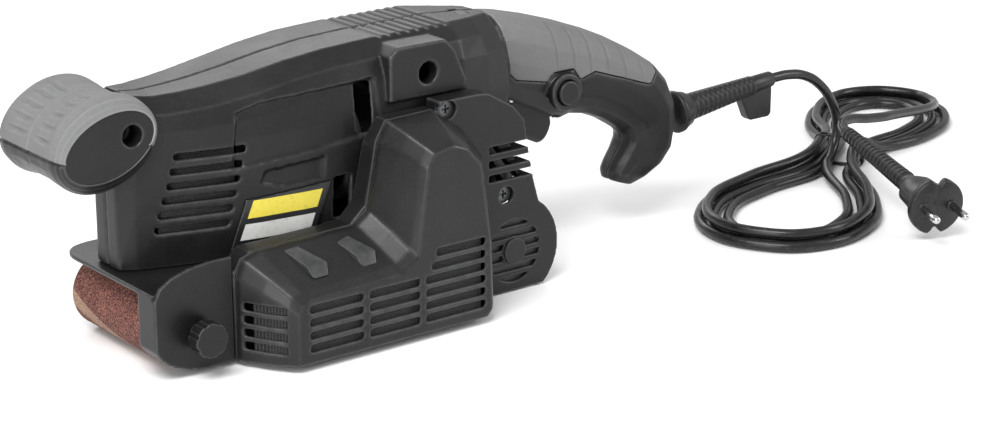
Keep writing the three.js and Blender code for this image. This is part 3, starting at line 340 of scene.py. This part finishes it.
def lamination():
    """Stacked sheets: thin dark lines across X."""
    made = Finish("steel_stack", 0.42, metallic=1.0)
    lines = made.wave(320, direction="X")
    tone = made.ramp(lines, [(0.1, (0.07, 0.07, 0.075)), (0.45, (0.28, 0.285, 0.29))])
    made.bump(lines, 0.08 * MM, 0.5)
    return made.finish(tone, made.levels(made.noise(200, 4), 0.2, 0.8, 0.34, 0.56))


def copper_winding():
    """Lacquered wires side by side."""
    made = Finish("copper_winding", 0.32, metallic=0.9)
    strands = made.wave(240, made.stretched((0.3, 1, 1)), "DIAGONAL", 2.0)
    tone = made.ramp(strands, [(0.05, (0.10, 0.03, 0.012)), (0.5, (0.52, 0.21, 0.08)),
                               (1.0, (0.66, 0.32, 0.14))])
    made.bump(strands, 0.25 * MM, 0.8)
    return made.finish(tone, made.levels(made.noise(160, 3), 0.2, 0.8, 0.26, 0.44))


def graphite():
    """Pressed carbon for the brushes and the platen's pad."""
    made = Finish("graphite", 0.6, specular=0.4)
    grains = made.noise(1600, 3)
    tone = made.ramp(grains, [(0.3, (0.012, 0.012, 0.013)), (0.8, (0.06, 0.06, 0.062))])
    made.bump(grains, 0.08 * MM, 0.6)
    return made.finish(tone, made.levels(made.noise(90, 3), 0.2, 0.8, 0.5, 0.72))


LAMINATION = lamination()
WINDING = copper_winding()
GRAPHITE = graphite()


GRIT_CELLS = 1900                         # grains per metre


def abrasive(name, dark, mid, light, coarse=0.16 * MM):
    """Closed-coat aluminium oxide: sharp grains in red-brown resin, worn paler in streaks along the run."""
    made = Finish(name, 0.85, specular=0.35)
    grains = made.node("ShaderNodeTexVoronoi", feature="F1")
    grains.inputs["Scale"].default_value = GRIT_CELLS
    made.link(made.place, grains.inputs["Vector"])
    streaks = made.noise(120, 4, place=made.stretched((0.12, 1, 0.12)))
    lottery = made.node("ShaderNodeSeparateXYZ")
    made.link(grains.outputs["Color"], lottery.inputs["Vector"])
    tone = made.ramp(lottery.outputs["X"], [(0.1, dark), (0.55, mid), (0.95, light)])
    loaded = made.mix(made.levels(streaks, 0.55, 0.8, 0.0, 0.3), tone, tuple(1.3 * c for c in light))
    made.bump(grains.outputs["Distance"], coarse, 0.9)
    return made.finish(loaded, made.levels(streaks, 0.3, 0.7, 0.78, 0.95))


GRIT = abrasive("grit", (0.028, 0.009, 0.007), (0.105, 0.034, 0.026), (0.30, 0.13, 0.10))
JOINT = abrasive("belt_joint", (0.15, 0.085, 0.055), (0.27, 0.165, 0.115), (0.38, 0.26, 0.19), 0.05 * MM)


def belt_cloth():
    """The woven backing inside the belt."""
    made = Finish("belt_cloth", 0.9, specular=0.2)
    warp = made.wave(420, direction="Y")
    weft = made.wave(420, direction="X")
    weave = made.math("MAXIMUM", warp, weft)
    tone = made.ramp(weave, [(0.2, (0.16, 0.10, 0.07)), (0.9, (0.34, 0.24, 0.17))])
    made.bump(weave, 0.12 * MM, 0.7)
    return made.finish(tone, made.levels(made.noise(60, 3), 0.2, 0.8, 0.82, 0.96))


CLOTH = belt_cloth()


def filter_cloth():
    """Fine square mesh behind the slots, clogged with pale dust in places."""
    made = Finish("filter_mesh", 0.75, specular=0.3)
    rows = made.math("MAXIMUM", made.wave(340, direction="X"), made.wave(340, direction="Z"))
    tone = made.ramp(rows, [(0.35, (0.006, 0.006, 0.006)), (0.85, (0.05, 0.05, 0.052))])
    dusty = made.mix(made.levels(made.noise(120, 4), 0.5, 0.75, 0.0, 0.3), tone, (0.06, 0.055, 0.05))
    made.bump(rows, 0.3 * MM, 0.9)
    return made.finish(dusty, made.levels(rows, 0.0, 1.0, 0.85, 0.6))


FILTER = filter_cloth()


PLATE_BLACK = (0.010, 0.010, 0.011)
PLATE_PALE = (0.62, 0.62, 0.60)
PLATE_YELLOW = (0.72, 0.60, 0.06)
BANDS_Z = (0.052, 0.082)                  # the height over which the bands lie
BANDS_LEAN = 0.33                         # how far the bands' ends lean back per rise
BANDS_FRONT, BANDS_REAR = -0.0800, -0.0400
BANDS_SOFT = 0.0002                       # half the width of the bands' blurred ends


def plate_label():
    """A plain printed plate: a yellow band over a pale one on black, with no lettering."""
    made = Finish("label", 0.36, specular=0.5, coat=0.2)
    parts = made.node("ShaderNodeSeparateXYZ")
    made.link(made.place, parts.inputs["Vector"])
    tone = made.ramp(made.levels(parts.outputs["Z"], *BANDS_Z), [
        (0.0, PLATE_BLACK), (0.17, PLATE_PALE), (0.46, PLATE_BLACK), (0.56, PLATE_YELLOW), (0.88, PLATE_BLACK)])
    tone.node.color_ramp.interpolation = "CONSTANT"
    leaning = made.math("SUBTRACT", parts.outputs["X"], made.math("MULTIPLY", parts.outputs["Z"], BANDS_LEAN))
    within = made.math("MULTIPLY", made.levels(leaning, BANDS_FRONT - BANDS_SOFT, BANDS_FRONT + BANDS_SOFT),
                       made.levels(leaning, BANDS_REAR - BANDS_SOFT, BANDS_REAR + BANDS_SOFT, 1.0, 0.0))
    bands = made.mix(within, PLATE_BLACK, tone)
    rubbed = made.mix(made.levels(made.noise(420, 5), 0.55, 0.8, 0.0, 0.3), bands, (0.05, 0.05, 0.05))
    made.bump(made.noise(500, 2), 0.03 * MM, 0.4)
    return made.finish(rubbed, made.levels(made.noise(90, 4), 0.2, 0.8, 0.28, 0.5))


LABEL = plate_label()

MATERIAL_OF = {
    HOUSING: ["housing_left", "housing_right", "front_guard", "side_frame", "drive_cover", "trigger",
              "lock_button"],
    BOX: ["dust_box", "roller_end_cap", "switch_body"],
    KNOB: ["tracking_knob", "speed_dial", "cooling_fan"],
    FRONT_GRIP: ["front_grip_skin"],
    PALM_GRIP: ["handle_grip_skin"],
    RUBBER: ["drive_roller_tyre", "toothed_belt", "cord_tie"],
    MOULDED_LEAD: ["strain_relief", "plug", "cord", "cord_hank"],
    STEEL: ["drive_shaft", "jackshaft", "drive_bearing_left", "drive_bearing_right", "bevel_gear", "platen",
            "front_axle", "jackshaft_bearing_left", "jackshaft_bearing_right", "tracking_screw", "trigger_pin",
            "tension_spring"],
    SHAFT_STEEL: ["motor_shaft", "bevel_pinion", "motor_bearing_front", "motor_bearing_rear"],
    DARK_STEEL: ["tension_lever", "cover_screw_upper", "cover_screw_lower"],
    ALLOY: ["base_frame", "roller_yoke", "front_roller", "drive_roller_core", "large_pulley", "small_pulley",
            "gear_case"],
    CHROME: ["plug_pin_left", "plug_pin_right"],
    BRASS: ["commutator"],
    WINDING: ["armature_winding"],
    LAMINATION: ["armature_core", "stator"],
    GRAPHITE: ["brush_left", "brush_right", "platen_pad"],
    GRIT: ["sanding_belt"],
    FILTER: ["dust_filter"],
    LABEL: ["name_plate"],
}
for material, names in MATERIAL_OF.items():
    for name in names:
        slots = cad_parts[name].data.materials
        slots.clear()
        slots.append(material)


# ---------------------------------------------------------------- mains lead
DROP = [(349.3, 0, 70), (364, 0, 70), (380, 0.5, 66.5), (394, 1, 58), (405, 2, 46), (411.5, 3, 34),
        (413, 3.5, 26)]
TO_HANK = [(411, 2.5, 18), (404, -1.5, 11), (392, -9, 8)]
TO_PLUG = [(455, -2, 28), (430, -8, 32), (408, -12, 36), (397, -17, 36), (390, -27, 34)]
HANK_AT = at(418, 5, 0)
HANK_TURN = math.radians(30)
HANK_TURNS = 4
HANK_HALF = [(-190, 0), (-178, 34), (-130, 55), (-75, 46), (-25, 21), (0, 17), (30, 24), (75, 44), (125, 46),
             (155, 28), (165, 0)]
# Where each turn lies, in the lobes and at the waist: how far inside the outline, and its height.
LOBE_SLOTS = [(18, 3.8), (9.2, 3.8), (0.3, 3.8), (5, 10.0)]
WAIST_SLOTS = [(7.8, 3.9), (1.4, 3.9), (1.4, 10.2), (1.4, 16.5)]
CORD_MARGIN_MM = 3.4
LOBE_REACH_MM = 60                        # this far along the hank from its waist, the lobes' slots hold


def hank_to_world(u, v, z):
    turned = Matrix.Rotation(HANK_TURN, 3, "Z") @ (Vector((u, v, 0)) * MM)
    return HANK_AT + turned + Vector((0, 0, z * MM))


def hank_route():
    """The turns one after another, from the left lobe's near side round to the right lobe's near side."""
    near = [(u, -v) for u, v in HANK_HALF]
    ring = near[5:0:-1] + HANK_HALF + near[-2:5:-1]     # near waist, left end, far side, right end, back
    count = len(ring)
    route = []
    for step in range(2, HANK_TURNS * count - 3):
        u, v = ring[step % count]
        before, after = Vector(ring[(step - 1) % count]), Vector(ring[(step + 1) % count])
        along = (after - before).normalized()
        inward = Vector((along.y, -along.x))
        turn = min(step // count, HANK_TURNS - 1)
        share = min(1.0, abs(u) / LOBE_REACH_MM) ** 0.7
        d = CORD_MARGIN_MM + LOBE_SLOTS[turn][0] * share + WAIST_SLOTS[turn][0] * (1 - share)
        z = LOBE_SLOTS[turn][1] * share + WAIST_SLOTS[turn][1] * (1 - share)
        route.append(hank_to_world(u + inward.x * d, v + inward.y * d, z))
    return route


def smooth_curve(name, points, radius, material, resolution=8, cyclic=False):
    data = bpy.data.curves.new(name, "CURVE")
    data.dimensions = "3D"
    data.bevel_depth = radius
    data.bevel_resolution = 5
    data.resolution_u = resolution
    data.use_fill_caps = True
    spline = data.splines.new("BEZIER")
    spline.use_cyclic_u = cyclic
    spline.bezier_points.add(len(points) - 1)
    for knot, point in zip(spline.bezier_points, points):
        knot.co = point
        knot.handle_left_type = knot.handle_right_type = "AUTO"
    data.materials.append(material)
    piece = bpy.data.objects.new(name, data)
    bpy.context.scene.collection.objects.link(piece)
    return piece, spline


lead_points = [at(*p) for p in DROP + TO_HANK] + hank_route() + [at(*p) for p in TO_PLUG]
lead, lead_spline = smooth_curve("mains_lead", lead_points, CORD_D / 2, CORD_SHEATH)

# The boot: a wide moulded collar, a ribbed taper and a hanging tab.
BOOT_TILT = math.atan2(8, 81.7)           # the boot's rise over its length
boot_place = looking(at(267.5, 0, 62), (math.cos(BOOT_TILT), 0, math.sin(BOOT_TILT)), (0, 1, 0))
BOOT_RIBS, BOOT_RIB_PITCH_MM, BOOT_RIBS_FROM_MM = 13, 4.1, 13
boot_profile = [(0, 0.1), (0, 12.2), (0.8, 13), (3, 13), (4, 12.2), (9, 10.8), (12, 8.4)]
for rib in range(BOOT_RIBS):
    start = BOOT_RIBS_FROM_MM + rib * BOOT_RIB_PITCH_MM
    radius = 8.0 - 0.19 * rib
    boot_profile += [(start, radius), (start + 0.5, radius + 0.35), (start + 2.2, radius + 0.3),
                     (start + 2.7, radius - 0.5), (start + 3.6, radius - 0.5)]
boot_profile += [(68, 5.4), (81, 4.8), (82, 4.2), (82, 0.1)]
boot = lathe("boot", boot_profile, boot_place, MOULDED_LEAD)
TAB = [(319, 67.5), (347, 68.5), (347, 49), (345, 47), (330, 47), (327.5, 49)]
tab = loft("boot_tab", [[at(x, y, z) for x, z in TAB] for y in (-3.5, 3.5)], MOULDED_LEAD)
crease_edges(tab, 0.9 * MM)

# The tie: a strap round the waist of the hank with its small head.
TIE_HALF_Y, TIE_BOTTOM, TIE_TOP, TIE_RADIUS = 16.6, 0.4, 20.0, 4.0
TIE_MIDDLE, TIE_HALF_Z = (TIE_TOP + TIE_BOTTOM) / 2, (TIE_TOP - TIE_BOTTOM) / 2
tie_ring = []
for corner, (cy, cz) in enumerate([(1, 1), (-1, 1), (-1, -1), (1, -1)]):
    centre_v = cy * (TIE_HALF_Y - TIE_RADIUS)
    centre_z = TIE_MIDDLE + cz * (TIE_HALF_Z - TIE_RADIUS)
    for k in range(5):
        angle = (corner + k / 4) * math.pi / 2
        tie_ring.append((centre_v + TIE_RADIUS * math.cos(angle), centre_z + TIE_RADIUS * math.sin(angle)))


def tie_loop(u, shrink):
    """The strap's section at u along the hank, drawn in by shrink."""
    return [hank_to_world(u, v * (1 - shrink / TIE_HALF_Y),
                          TIE_MIDDLE + (z - TIE_MIDDLE) * (1 - shrink / TIE_HALF_Z)) for v, z in tie_ring]


TIE_SECTION = [(-2, 0.2), (-1.6, 0), (1.6, 0), (2, 0.2), (2, 1.1), (-2, 1.1), (-2, 0.2)]
tie = loft("hank_tie", [tie_loop(u, shrink) for u, shrink in TIE_SECTION], RUBBER, closed_ends=False)
head = loft("tie_head", [[hank_to_world(u, v, z) for u, v in ((-3.2, 8), (3.2, 8), (3.2, 13.5), (-3.2, 13.5))]
                         for z in (18.9, 20.0)], RUBBER)
crease_edges(head, 0.3 * MM)

# The plug: a ridged tail, a waisted grip and a notched round flange, built along its own Z.
PLUG_FROM, PLUG_TO = at(390, -27, 34), at(345, -158, 19)
PIN_LENGTH_MM = 19
plug_place = looking(PLUG_FROM, PLUG_TO - PLUG_FROM)
plug_length = (PLUG_TO - PLUG_FROM).length / MM - PIN_LENGTH_MM
SIDES = 96


def plug_ring(z, wide, thick, power=1.0):
    """An oval section of the plug, squarer as power falls below 1."""
    ring = []
    for k in range(SIDES):
        angle = k / SIDES * 2 * math.pi
        c, s = math.cos(angle), math.sin(angle)
        x = math.copysign(abs(c) ** power, c) * wide
        y = math.copysign(abs(s) ** power, s) * thick
        ring.append(plug_place @ (Vector((x, y, z)) * MM))
    return ring


NOTCH_DEPTH_MM, NOTCH_HALF_DEGREES = 4.5, 11


def flange_ring(z, radius):
    """Round, with a notch above and below for pulling the plug."""
    ring = []
    for k in range(SIDES):
        angle = k / SIDES * 2 * math.pi
        from_notch = abs(abs(math.degrees(angle) % 360 - 180) - 90)
        r = radius - NOTCH_DEPTH_MM * math.exp(-(from_notch / NOTCH_HALF_DEGREES) ** 4)
        ring.append(plug_place @ (Vector((r * math.cos(angle), r * math.sin(angle), z)) * MM))
    return ring


PLUG_HEAD_MM, TAIL_RIB_PITCH_MM = 34, 4.4
shoulder = plug_length - PLUG_HEAD_MM
plug_rings = [plug_ring(0, 3.6, 3.6), plug_ring(0.5, 4.1, 4.1)]
for rib in range(int((shoulder - 6) / TAIL_RIB_PITCH_MM)):
    start = 3 + rib * TAIL_RIB_PITCH_MM
    radius = 4.3 + 1.9 * start / shoulder
    for along, swell in ((0, -0.5), (0.6, 0.2), (2.4, 0.3), (3, -0.4)):
        plug_rings.append(plug_ring(start + along, radius + swell, radius + swell))
plug_rings += [plug_ring(shoulder, 6.2, 6.2), plug_ring(shoulder + 3, 8.4, 7.2, 0.9),
               plug_ring(shoulder + 7, 11.2, 8.2, 0.8), plug_ring(shoulder + 14, 12.0, 8.4, 0.8),
               plug_ring(shoulder + 22, 13.2, 9.2, 0.8), plug_ring(shoulder + 26, 14.6, 10.2, 0.85),
               plug_ring(shoulder + 28.2, 16.4, 11.4, 0.9)]
plug_rings += [flange_ring(plug_length - 5, 16.6), flange_ring(plug_length - 4.4, 17.3),
               flange_ring(plug_length - 0.8, 17.3), flange_ring(plug_length, 16.4)]
plug = loft("plug_body", plug_rings, MOULDED_LEAD)

PIN_OFFSET_MM = 9.5
PIN_PROFILE = [(0, 0.1), (0, 2.4), (17.4, 2.4), (18.8, 2.0), (19.7, 1.2), (20, 0.1)]
SLEEVE_PROFILE = [(0, 2.5), (0.2, 3.5), (1.6, 3.3), (2.2, 2.45)]
pins = []                                 # the left pin and its sleeve, then the right pin and its sleeve
for name, side in (("pin_left", PIN_OFFSET_MM), ("pin_right", -PIN_OFFSET_MM)):
    pin_place = plug_place @ Matrix.Translation((side * MM, 0, (plug_length - 1) * MM))
    pins.append(lathe("metal_" + name, PIN_PROFILE, pin_place, CHROME, 28))
    pins.append(lathe("sleeve_of_" + name, SLEEVE_PROFILE, pin_place, MOULDED_LEAD, 28))

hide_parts("cord", "cord_hank")
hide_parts("strain_relief")
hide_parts("cord_tie")
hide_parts("plug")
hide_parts("plug_pin_left")
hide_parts("plug_pin_right")
for piece in (lead, boot, tab, tie, head, plug, *pins):
    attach(piece, "sander")


# ---------------------------------------------------------------- moulded and machined CAD nodes
def soften(name, voxel_mm, passes):
    """Rounds every edge of a CAD node: an even skin of the voxel's size, relaxed a few times."""
    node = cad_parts[name]
    remesh = node.modifiers.new("even", "REMESH")
    remesh.mode = "VOXEL"
    remesh.voxel_size = voxel_mm * MM
    remesh.use_smooth_shade = True
    relax = node.modifiers.new("round", "SMOOTH")
    relax.factor = 0.5
    relax.iterations = passes


for name, voxel_mm, passes in [
    ("housing_left", 0.85, 6), ("housing_right", 0.9, 6), ("front_guard", 0.7, 4), ("side_frame", 0.8, 5),
    ("drive_cover", 0.65, 4), ("dust_box", 0.7, 12), ("handle_grip_skin", 0.7, 8),
    ("tracking_knob", 0.4, 4), ("roller_end_cap", 0.4, 2), ("trigger", 0.6, 6), ("lock_button", 0.5, 3),
    ("speed_dial", 0.5, 3), ("base_frame", 0.9, 2), ("gear_case", 1.0, 2), ("name_plate", 0.5, 2),
    ("cooling_fan", 0.6, 2), ("tension_lever", 0.5, 2),
]:
    soften(name, voxel_mm, passes)

HIDDEN = {"cord", "cord_hank", "strain_relief", "plug", "plug_pin_left", "plug_pin_right", "cord_tie",
          "sanding_belt", "front_grip_skin"}      # pieces made here stand in for these nodes
for name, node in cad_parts.items():
    if "even" not in node.modifiers and name not in HIDDEN:
        crease_edges(node, 0.25 * MM)


# ---------------------------------------------------------------- sanding belt
def belt_point(share, offset, y):
    """A point on the belt's run, share 0..1 from the middle of the lower run, offset from the inner face."""
    span = (BELT_LENGTH - 2 * math.pi * (ROLLER_R + BELT_THICK / 2)) / 2
    front_x = REAR_AXIS_X - span
    middle_z = ROLLER_R + BELT_THICK
    radius = ROLLER_R + offset
    way = (share % 1.0) * BELT_LENGTH
    arc = math.pi * (ROLLER_R + BELT_THICK / 2)
    if way < span:
        return Vector((front_x + way, y, middle_z - radius))
    if way < span + arc:
        angle = -math.pi / 2 + (way - span) / arc * math.pi
        return Vector((REAR_AXIS_X + radius * math.cos(angle), y, middle_z + radius * math.sin(angle)))
    if way < 2 * span + arc:
        return Vector((REAR_AXIS_X - (way - span - arc), y, middle_z + radius))
    angle = math.pi / 2 + (way - 2 * span - arc) / arc * math.pi
    return Vector((front_x + radius * math.cos(angle), y, middle_z + radius * math.sin(angle)))


BELT_STEPS, BELT_ROWS = 266, 10
JOINT_AT, JOINT_WIDE = 0.963, 5       # share of the run where the joint lies, and its width in steps
JOINT_SLANT = -0.42                   # run per width


def sanding_belt():
    """The belt as one closed band: grit outside, cloth inside and at the edges, and its slanted joint."""
    points, faces, grit_faces, joint_faces = [], [], [], []
    for step in range(BELT_STEPS):
        for row in range(BELT_ROWS):
            y = (row / (BELT_ROWS - 1) - 0.5) * BELT_WIDTH
            share = step / BELT_STEPS + JOINT_SLANT * y / BELT_LENGTH
            for offset in (0.0, BELT_THICK):
                points.append(belt_point(share, offset, y))

    def index(step, row, outer):
        return ((step % BELT_STEPS) * BELT_ROWS + row) * 2 + outer

    joint_start = int(JOINT_AT * BELT_STEPS)
    for step in range(BELT_STEPS):
        for row in range(BELT_ROWS - 1):
            quad = [(step, row), (step + 1, row), (step + 1, row + 1), (step, row + 1)]
            is_joint = joint_start <= step < joint_start + JOINT_WIDE
            (joint_faces if is_joint else grit_faces).append(len(faces))
            faces.append(tuple(index(s, r, 1) for s, r in quad))
            faces.append(tuple(index(s, r, 0) for s, r in reversed(quad)))
        for row in (0, BELT_ROWS - 1):
            faces.append((index(step, row, 0), index(step + 1, row, 0), index(step + 1, row, 1),
                          index(step, row, 1)))
    belt = piece_from("abrasive_belt", points, faces, CLOTH)
    belt.data.materials.append(GRIT)
    belt.data.materials.append(JOINT)
    for face in grit_faces:
        belt.data.polygons[face].material_index = 1
    for face in joint_faces:
        belt.data.polygons[face].material_index = 2
    split = belt.modifiers.new("rim", "EDGE_SPLIT")
    split.split_angle = math.radians(60)
    return belt


belt = sanding_belt()
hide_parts("sanding_belt")
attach(belt, "sander")


# ---------------------------------------------------------------- front grip
GRIP_MIDDLE = at(-134, 0, 120.5)
GRIP_LEAN = math.radians(19)
GRIP_HALF_MM = 32.5
GRIP_PROFILE = [(0, 29.2, 20), (0.3, 29.2, 20.6), (0.55, 29.6, 22.8), (0.74, 29.8, 24.0), (0.88, 29.2, 21.8),
                (0.96, 28.2, 19.0), (1, 27, 16.4)]
SKIN_FROM, SKIN_TO = -38, 165         # the soft skin's angles round the grip, from its rear end over the top
GRIP_GROOVES = [78, 94, 110, 126, 142]


def profile_at(share):
    """The long and short half axes of the grip, read smoothly from its profile."""
    share = min(abs(share), 1.0)
    for (s0, long0, short0), (s1, long1, short1) in zip(GRIP_PROFILE, GRIP_PROFILE[1:]):
        if share <= s1:
            t = (share - s0) / (s1 - s0)
            t = t * t * (3 - 2 * t)
            return long0 + (long1 - long0) * t, short0 + (short1 - short0) * t
    return GRIP_PROFILE[-1][1:]


def dip(value, centre, half):
    """1 at the centre, falling smoothly to 0 at half away."""
    t = max(0.0, 1 - abs(value - centre) / half)
    return t * t * (3 - 2 * t)


def grip_relief(share, degrees):
    """How far the surface stands above the plain grip: the seams and the finger grooves, in millimetres."""
    relief = 0.35
    skinned = SKIN_FROM < degrees < SKIN_TO
    seam_at = 0.045 * math.sin(math.radians(degrees * 2.3 + 20))
    if skinned:
        relief -= 1.1 * dip(share, seam_at, 0.025)
        across = dip(abs(share), 0.40, 0.30) ** 0.3
        for groove in GRIP_GROOVES:
            relief -= 1.5 * dip(degrees, groove + 6 * abs(share), 3.6) * across
    relief -= 0.8 * max(dip(degrees, SKIN_FROM, 3), dip(degrees, SKIN_TO, 3))
    return relief


def front_grip():
    """Grey skin over the top of the grip and black plastic below it, with rolled rims at its open ends."""
    turns, lengths = 180, 120
    stations = [(-1 + 2 * k / lengths, 1.0, -GRIP_HALF_MM * (-1 + 2 * k / lengths)) for k in range(lengths + 1)]
    rim = [(1, 0.99, GRIP_HALF_MM + 0.3), (1, 0.975, GRIP_HALF_MM + 0.4), (1, 0.95, GRIP_HALF_MM + 0.35),
           (1, 0.945, GRIP_HALF_MM - 0.6)]
    near = [(-share, scale, y) for share, scale, y in rim[::-1]]
    far = [(share, scale, -y) for share, scale, y in rim]
    rings = []
    for share, scale, y in near + stations + far:
        long, short = profile_at(share)
        ring = []
        for k in range(turns):
            degrees = (k * 360 / turns + 180) % 360 - 180
            relief = grip_relief(share, degrees)
            u = (long + relief) * scale * math.cos(math.radians(degrees))
            v = (short + relief) * scale * math.sin(math.radians(degrees))
            x = u * math.cos(GRIP_LEAN) - v * math.sin(GRIP_LEAN)
            z = u * math.sin(GRIP_LEAN) + v * math.cos(GRIP_LEAN)
            ring.append(GRIP_MIDDLE + at(x, y, z))
        rings.append(ring)
    grip = loft("front_grip_cover", rings, HOUSING, closed_ends=False)
    grip.data.materials.append(FRONT_GRIP)
    for face in grip.data.polygons:
        k = min(v % turns for v in face.vertices)
        if {v % turns for v in face.vertices} == {0, turns - 1}:
            k = turns - 1
        degrees = ((k + 0.5) * 360 / turns + 180) % 360 - 180
        if SKIN_FROM < degrees < SKIN_TO:
            face.material_index = 1
    return grip


grip = front_grip()
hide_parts("front_grip_skin")
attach(grip, "sander")


# ---------------------------------------------------------------- small pieces
def hull_piece(name, points, material, edge):
    """The convex solid over a few points, with rounded edges."""
    made = bmesh.new()
    for point in points:
        made.verts.new(point)
    bmesh.ops.convex_hull(made, input=made.verts)
    bmesh.ops.dissolve_limit(made, angle_limit=0.02, verts=made.verts, edges=made.edges)
    mesh = bpy.data.meshes.new(name)
    made.to_mesh(mesh)
    made.free()
    mesh.materials.append(material)
    piece = bpy.data.objects.new(name, mesh)
    bpy.context.scene.collection.objects.link(piece)
    crease_edges(piece, edge, 20, 3)
    return piece


# Two ramps stand on the low end of the dust box.
for number, x0 in enumerate((-49, -19)):
    x1 = x0 + 13
    ramp = hull_piece(f"box_ramp_{number + 1}", [
        at(x0 - 5, -62, 58.4), at(x0 + 4, -62, 59.0), at(x0, -77, 52.4), at(x1 - 1, -77, 53.0),
        at(x0 + 1.5, -80.5, 46.5), at(x1 - 2.5, -80.5, 47), at(x0, -66, 52), at(x1 - 2, -74, 46),
    ], BOX, 0.5 * MM)
    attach(ramp, "dust_box")


def flat_ring(name, x, z, inner, outer, y0, y1):
    """A thin ring that closes the gap round one of the drive cover's screws or behind its round end."""
    thick = y1 - y0
    ring = lathe(name, [(0, inner), (0, outer), (thick, outer), (thick, inner), (0, inner)],
                 looking(at(x, y0, z), (0, 1, 0)), HOUSING, closed_ends=False)
    crease_edges(ring, 0.1 * MM)
    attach(ring, "sander")


flat_ring("screw_washer_upper", 57, 112, 3.9, 5.2, -52.9, -52.3)
flat_ring("screw_washer_lower", 96, 57, 3.9, 5.2, -52.9, -52.3)
flat_ring("end_cap_backing", 101.5, 24, 8.6, 18.6, -53.3, -52.7)

# Dust screens behind the air inlets, and the bright ring round the fan behind its window.
for number, side in enumerate((-1, 1)):
    corners = [(-101, 19), (-62, 31.2), (-62, 30.2), (-101, 18)]
    screen = loft(f"inlet_screen_{number + 1}", [[at(x, side * y, z) for x, y in corners] for z in (62, 112)],
                  FILTER)
    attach(screen, "sander")
fan_place = looking(at(0, 0, 92), (1, 0, 0), (0, 1, 0))
fan_ring = lathe("fan_ring", [(8, 31), (8, 33), (10, 34.5), (15, 34.5), (17, 33), (17, 31), (8, 31)],
                 fan_place, ALLOY, 72, closed_ends=False)
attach(fan_ring, "sander")


def screw(name, place, radius, body):
    """A pan head in a moulded boss."""
    boss = lathe(name + "_boss", [(-1.5, radius + 2.2), (0.4, radius + 1.8), (0.9, radius + 1.2),
                                  (0.9, radius + 0.5), (-0.6, radius + 0.4), (-0.6, 0.1)], place, HOUSING, 40)
    head_piece = lathe(name, [(-0.5, radius), (0.1, radius), (0.6, radius * 0.8), (0.75, radius * 0.4),
                              (0.75, 0.1)], place, DARK_STEEL, 32)
    for piece, slot in ((boss, "black_plastic"), (head_piece, "dark_steel")):
        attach(piece, body)


RIGHT_SCREWS = [(-98, 132), (-104, 60), (-20, 132), (-20, 64), (60, 132), (60, 64), (152, 124), (228, 90)]


SCREW_RADIUS_MM, SCREW_SINK_MM = 3.2, 0.6


def right_flank(x, z):
    """A point of the housing's right flank and its normal, from the housing's own mesh."""
    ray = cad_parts["housing_right"].ray_cast(at(x, 90, z), Vector((0, -1, 0)))
    return ray[1], ray[2]


for number, (x, z) in enumerate(RIGHT_SCREWS):
    place, normal = right_flank(x, z)
    screw(f"housing_screw_{number + 1}", looking(place - normal * SCREW_SINK_MM * MM, normal), SCREW_RADIUS_MM,
          "sander")

# A rubber seal lies between the dust box and the side frame.
SEAL = [(-80, 4), (-80, 48), (-76, 56.5), (-66, 59.5), (-7, 61), (2, 67.5), (9, 103.5), (15, 113.5),
        (44, 114.4), (61.5, 102.5), (73.4, 88), (79.4, 40), (78.4, 8), (74.6, 3.4)]
seal, seal_spline = smooth_curve("dust_box_seal", [at(x, -56.2, z) for x, z in SEAL], 0.7 * MM, RUBBER, 6, True)
for knot in seal_spline.bezier_points:
    knot.handle_left_type = knot.handle_right_type = "VECTOR"
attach(seal, "dust_box")


# ---------------------------------------------------------------- floor and light
def flat_floor():
    made = Finish("floor", 0.55, specular=0.2)
    tone = made.ramp(made.noise(3, 2), [(0.3, (0.86, 0.86, 0.86)), (0.7, (0.9, 0.9, 0.9))])
    floor_piece = piece_from("floor", [(-6, -6, 0), (6, -6, 0), (6, 6, 0), (-6, 6, 0)], [(0, 1, 2, 3)],
                             made.finish(tone))


def soft_light(name, place, target, size, power):
    data = bpy.data.lights.new(name, "AREA")
    data.shape = "RECTANGLE"
    data.size, data.size_y = size
    data.energy = power
    lamp = bpy.data.objects.new(name, data)
    lamp.location = place
    lamp.rotation_euler = (Vector(target) - Vector(place)).to_track_quat("-Z", "Y").to_euler()
    bpy.context.scene.collection.objects.link(lamp)


LIGHTS = [                                # name, place, target, size and watts
    ("key", (-0.7, -0.5, 1.3), (0.05, 0, 0.08), (0.9, 0.7), 24),
    ("side", (-1.5, -0.9, 0.5), (0, 0, 0.08), (0.5, 0.9), 12),
    ("back", (0.35, 1.3, 0.9), (0.05, 0, 0.1), (1.8, 0.5), 9),
    ("right", (1.4, -0.9, 0.8), (0.1, 0, 0.05), (0.5, 0.9), 10),
]
WORLD_STRENGTH = 0.6

flat_floor()
for light in LIGHTS:
    soft_light(*light)
world = bpy.data.worlds.new("studio")
world.use_nodes = True
world.node_tree.nodes["Background"].inputs["Color"].default_value = (1, 1, 1, 1)
world.node_tree.nodes["Background"].inputs["Strength"].default_value = WORLD_STRENGTH
bpy.context.scene.world = world
bpy.context.scene.view_settings.view_transform = "Standard"
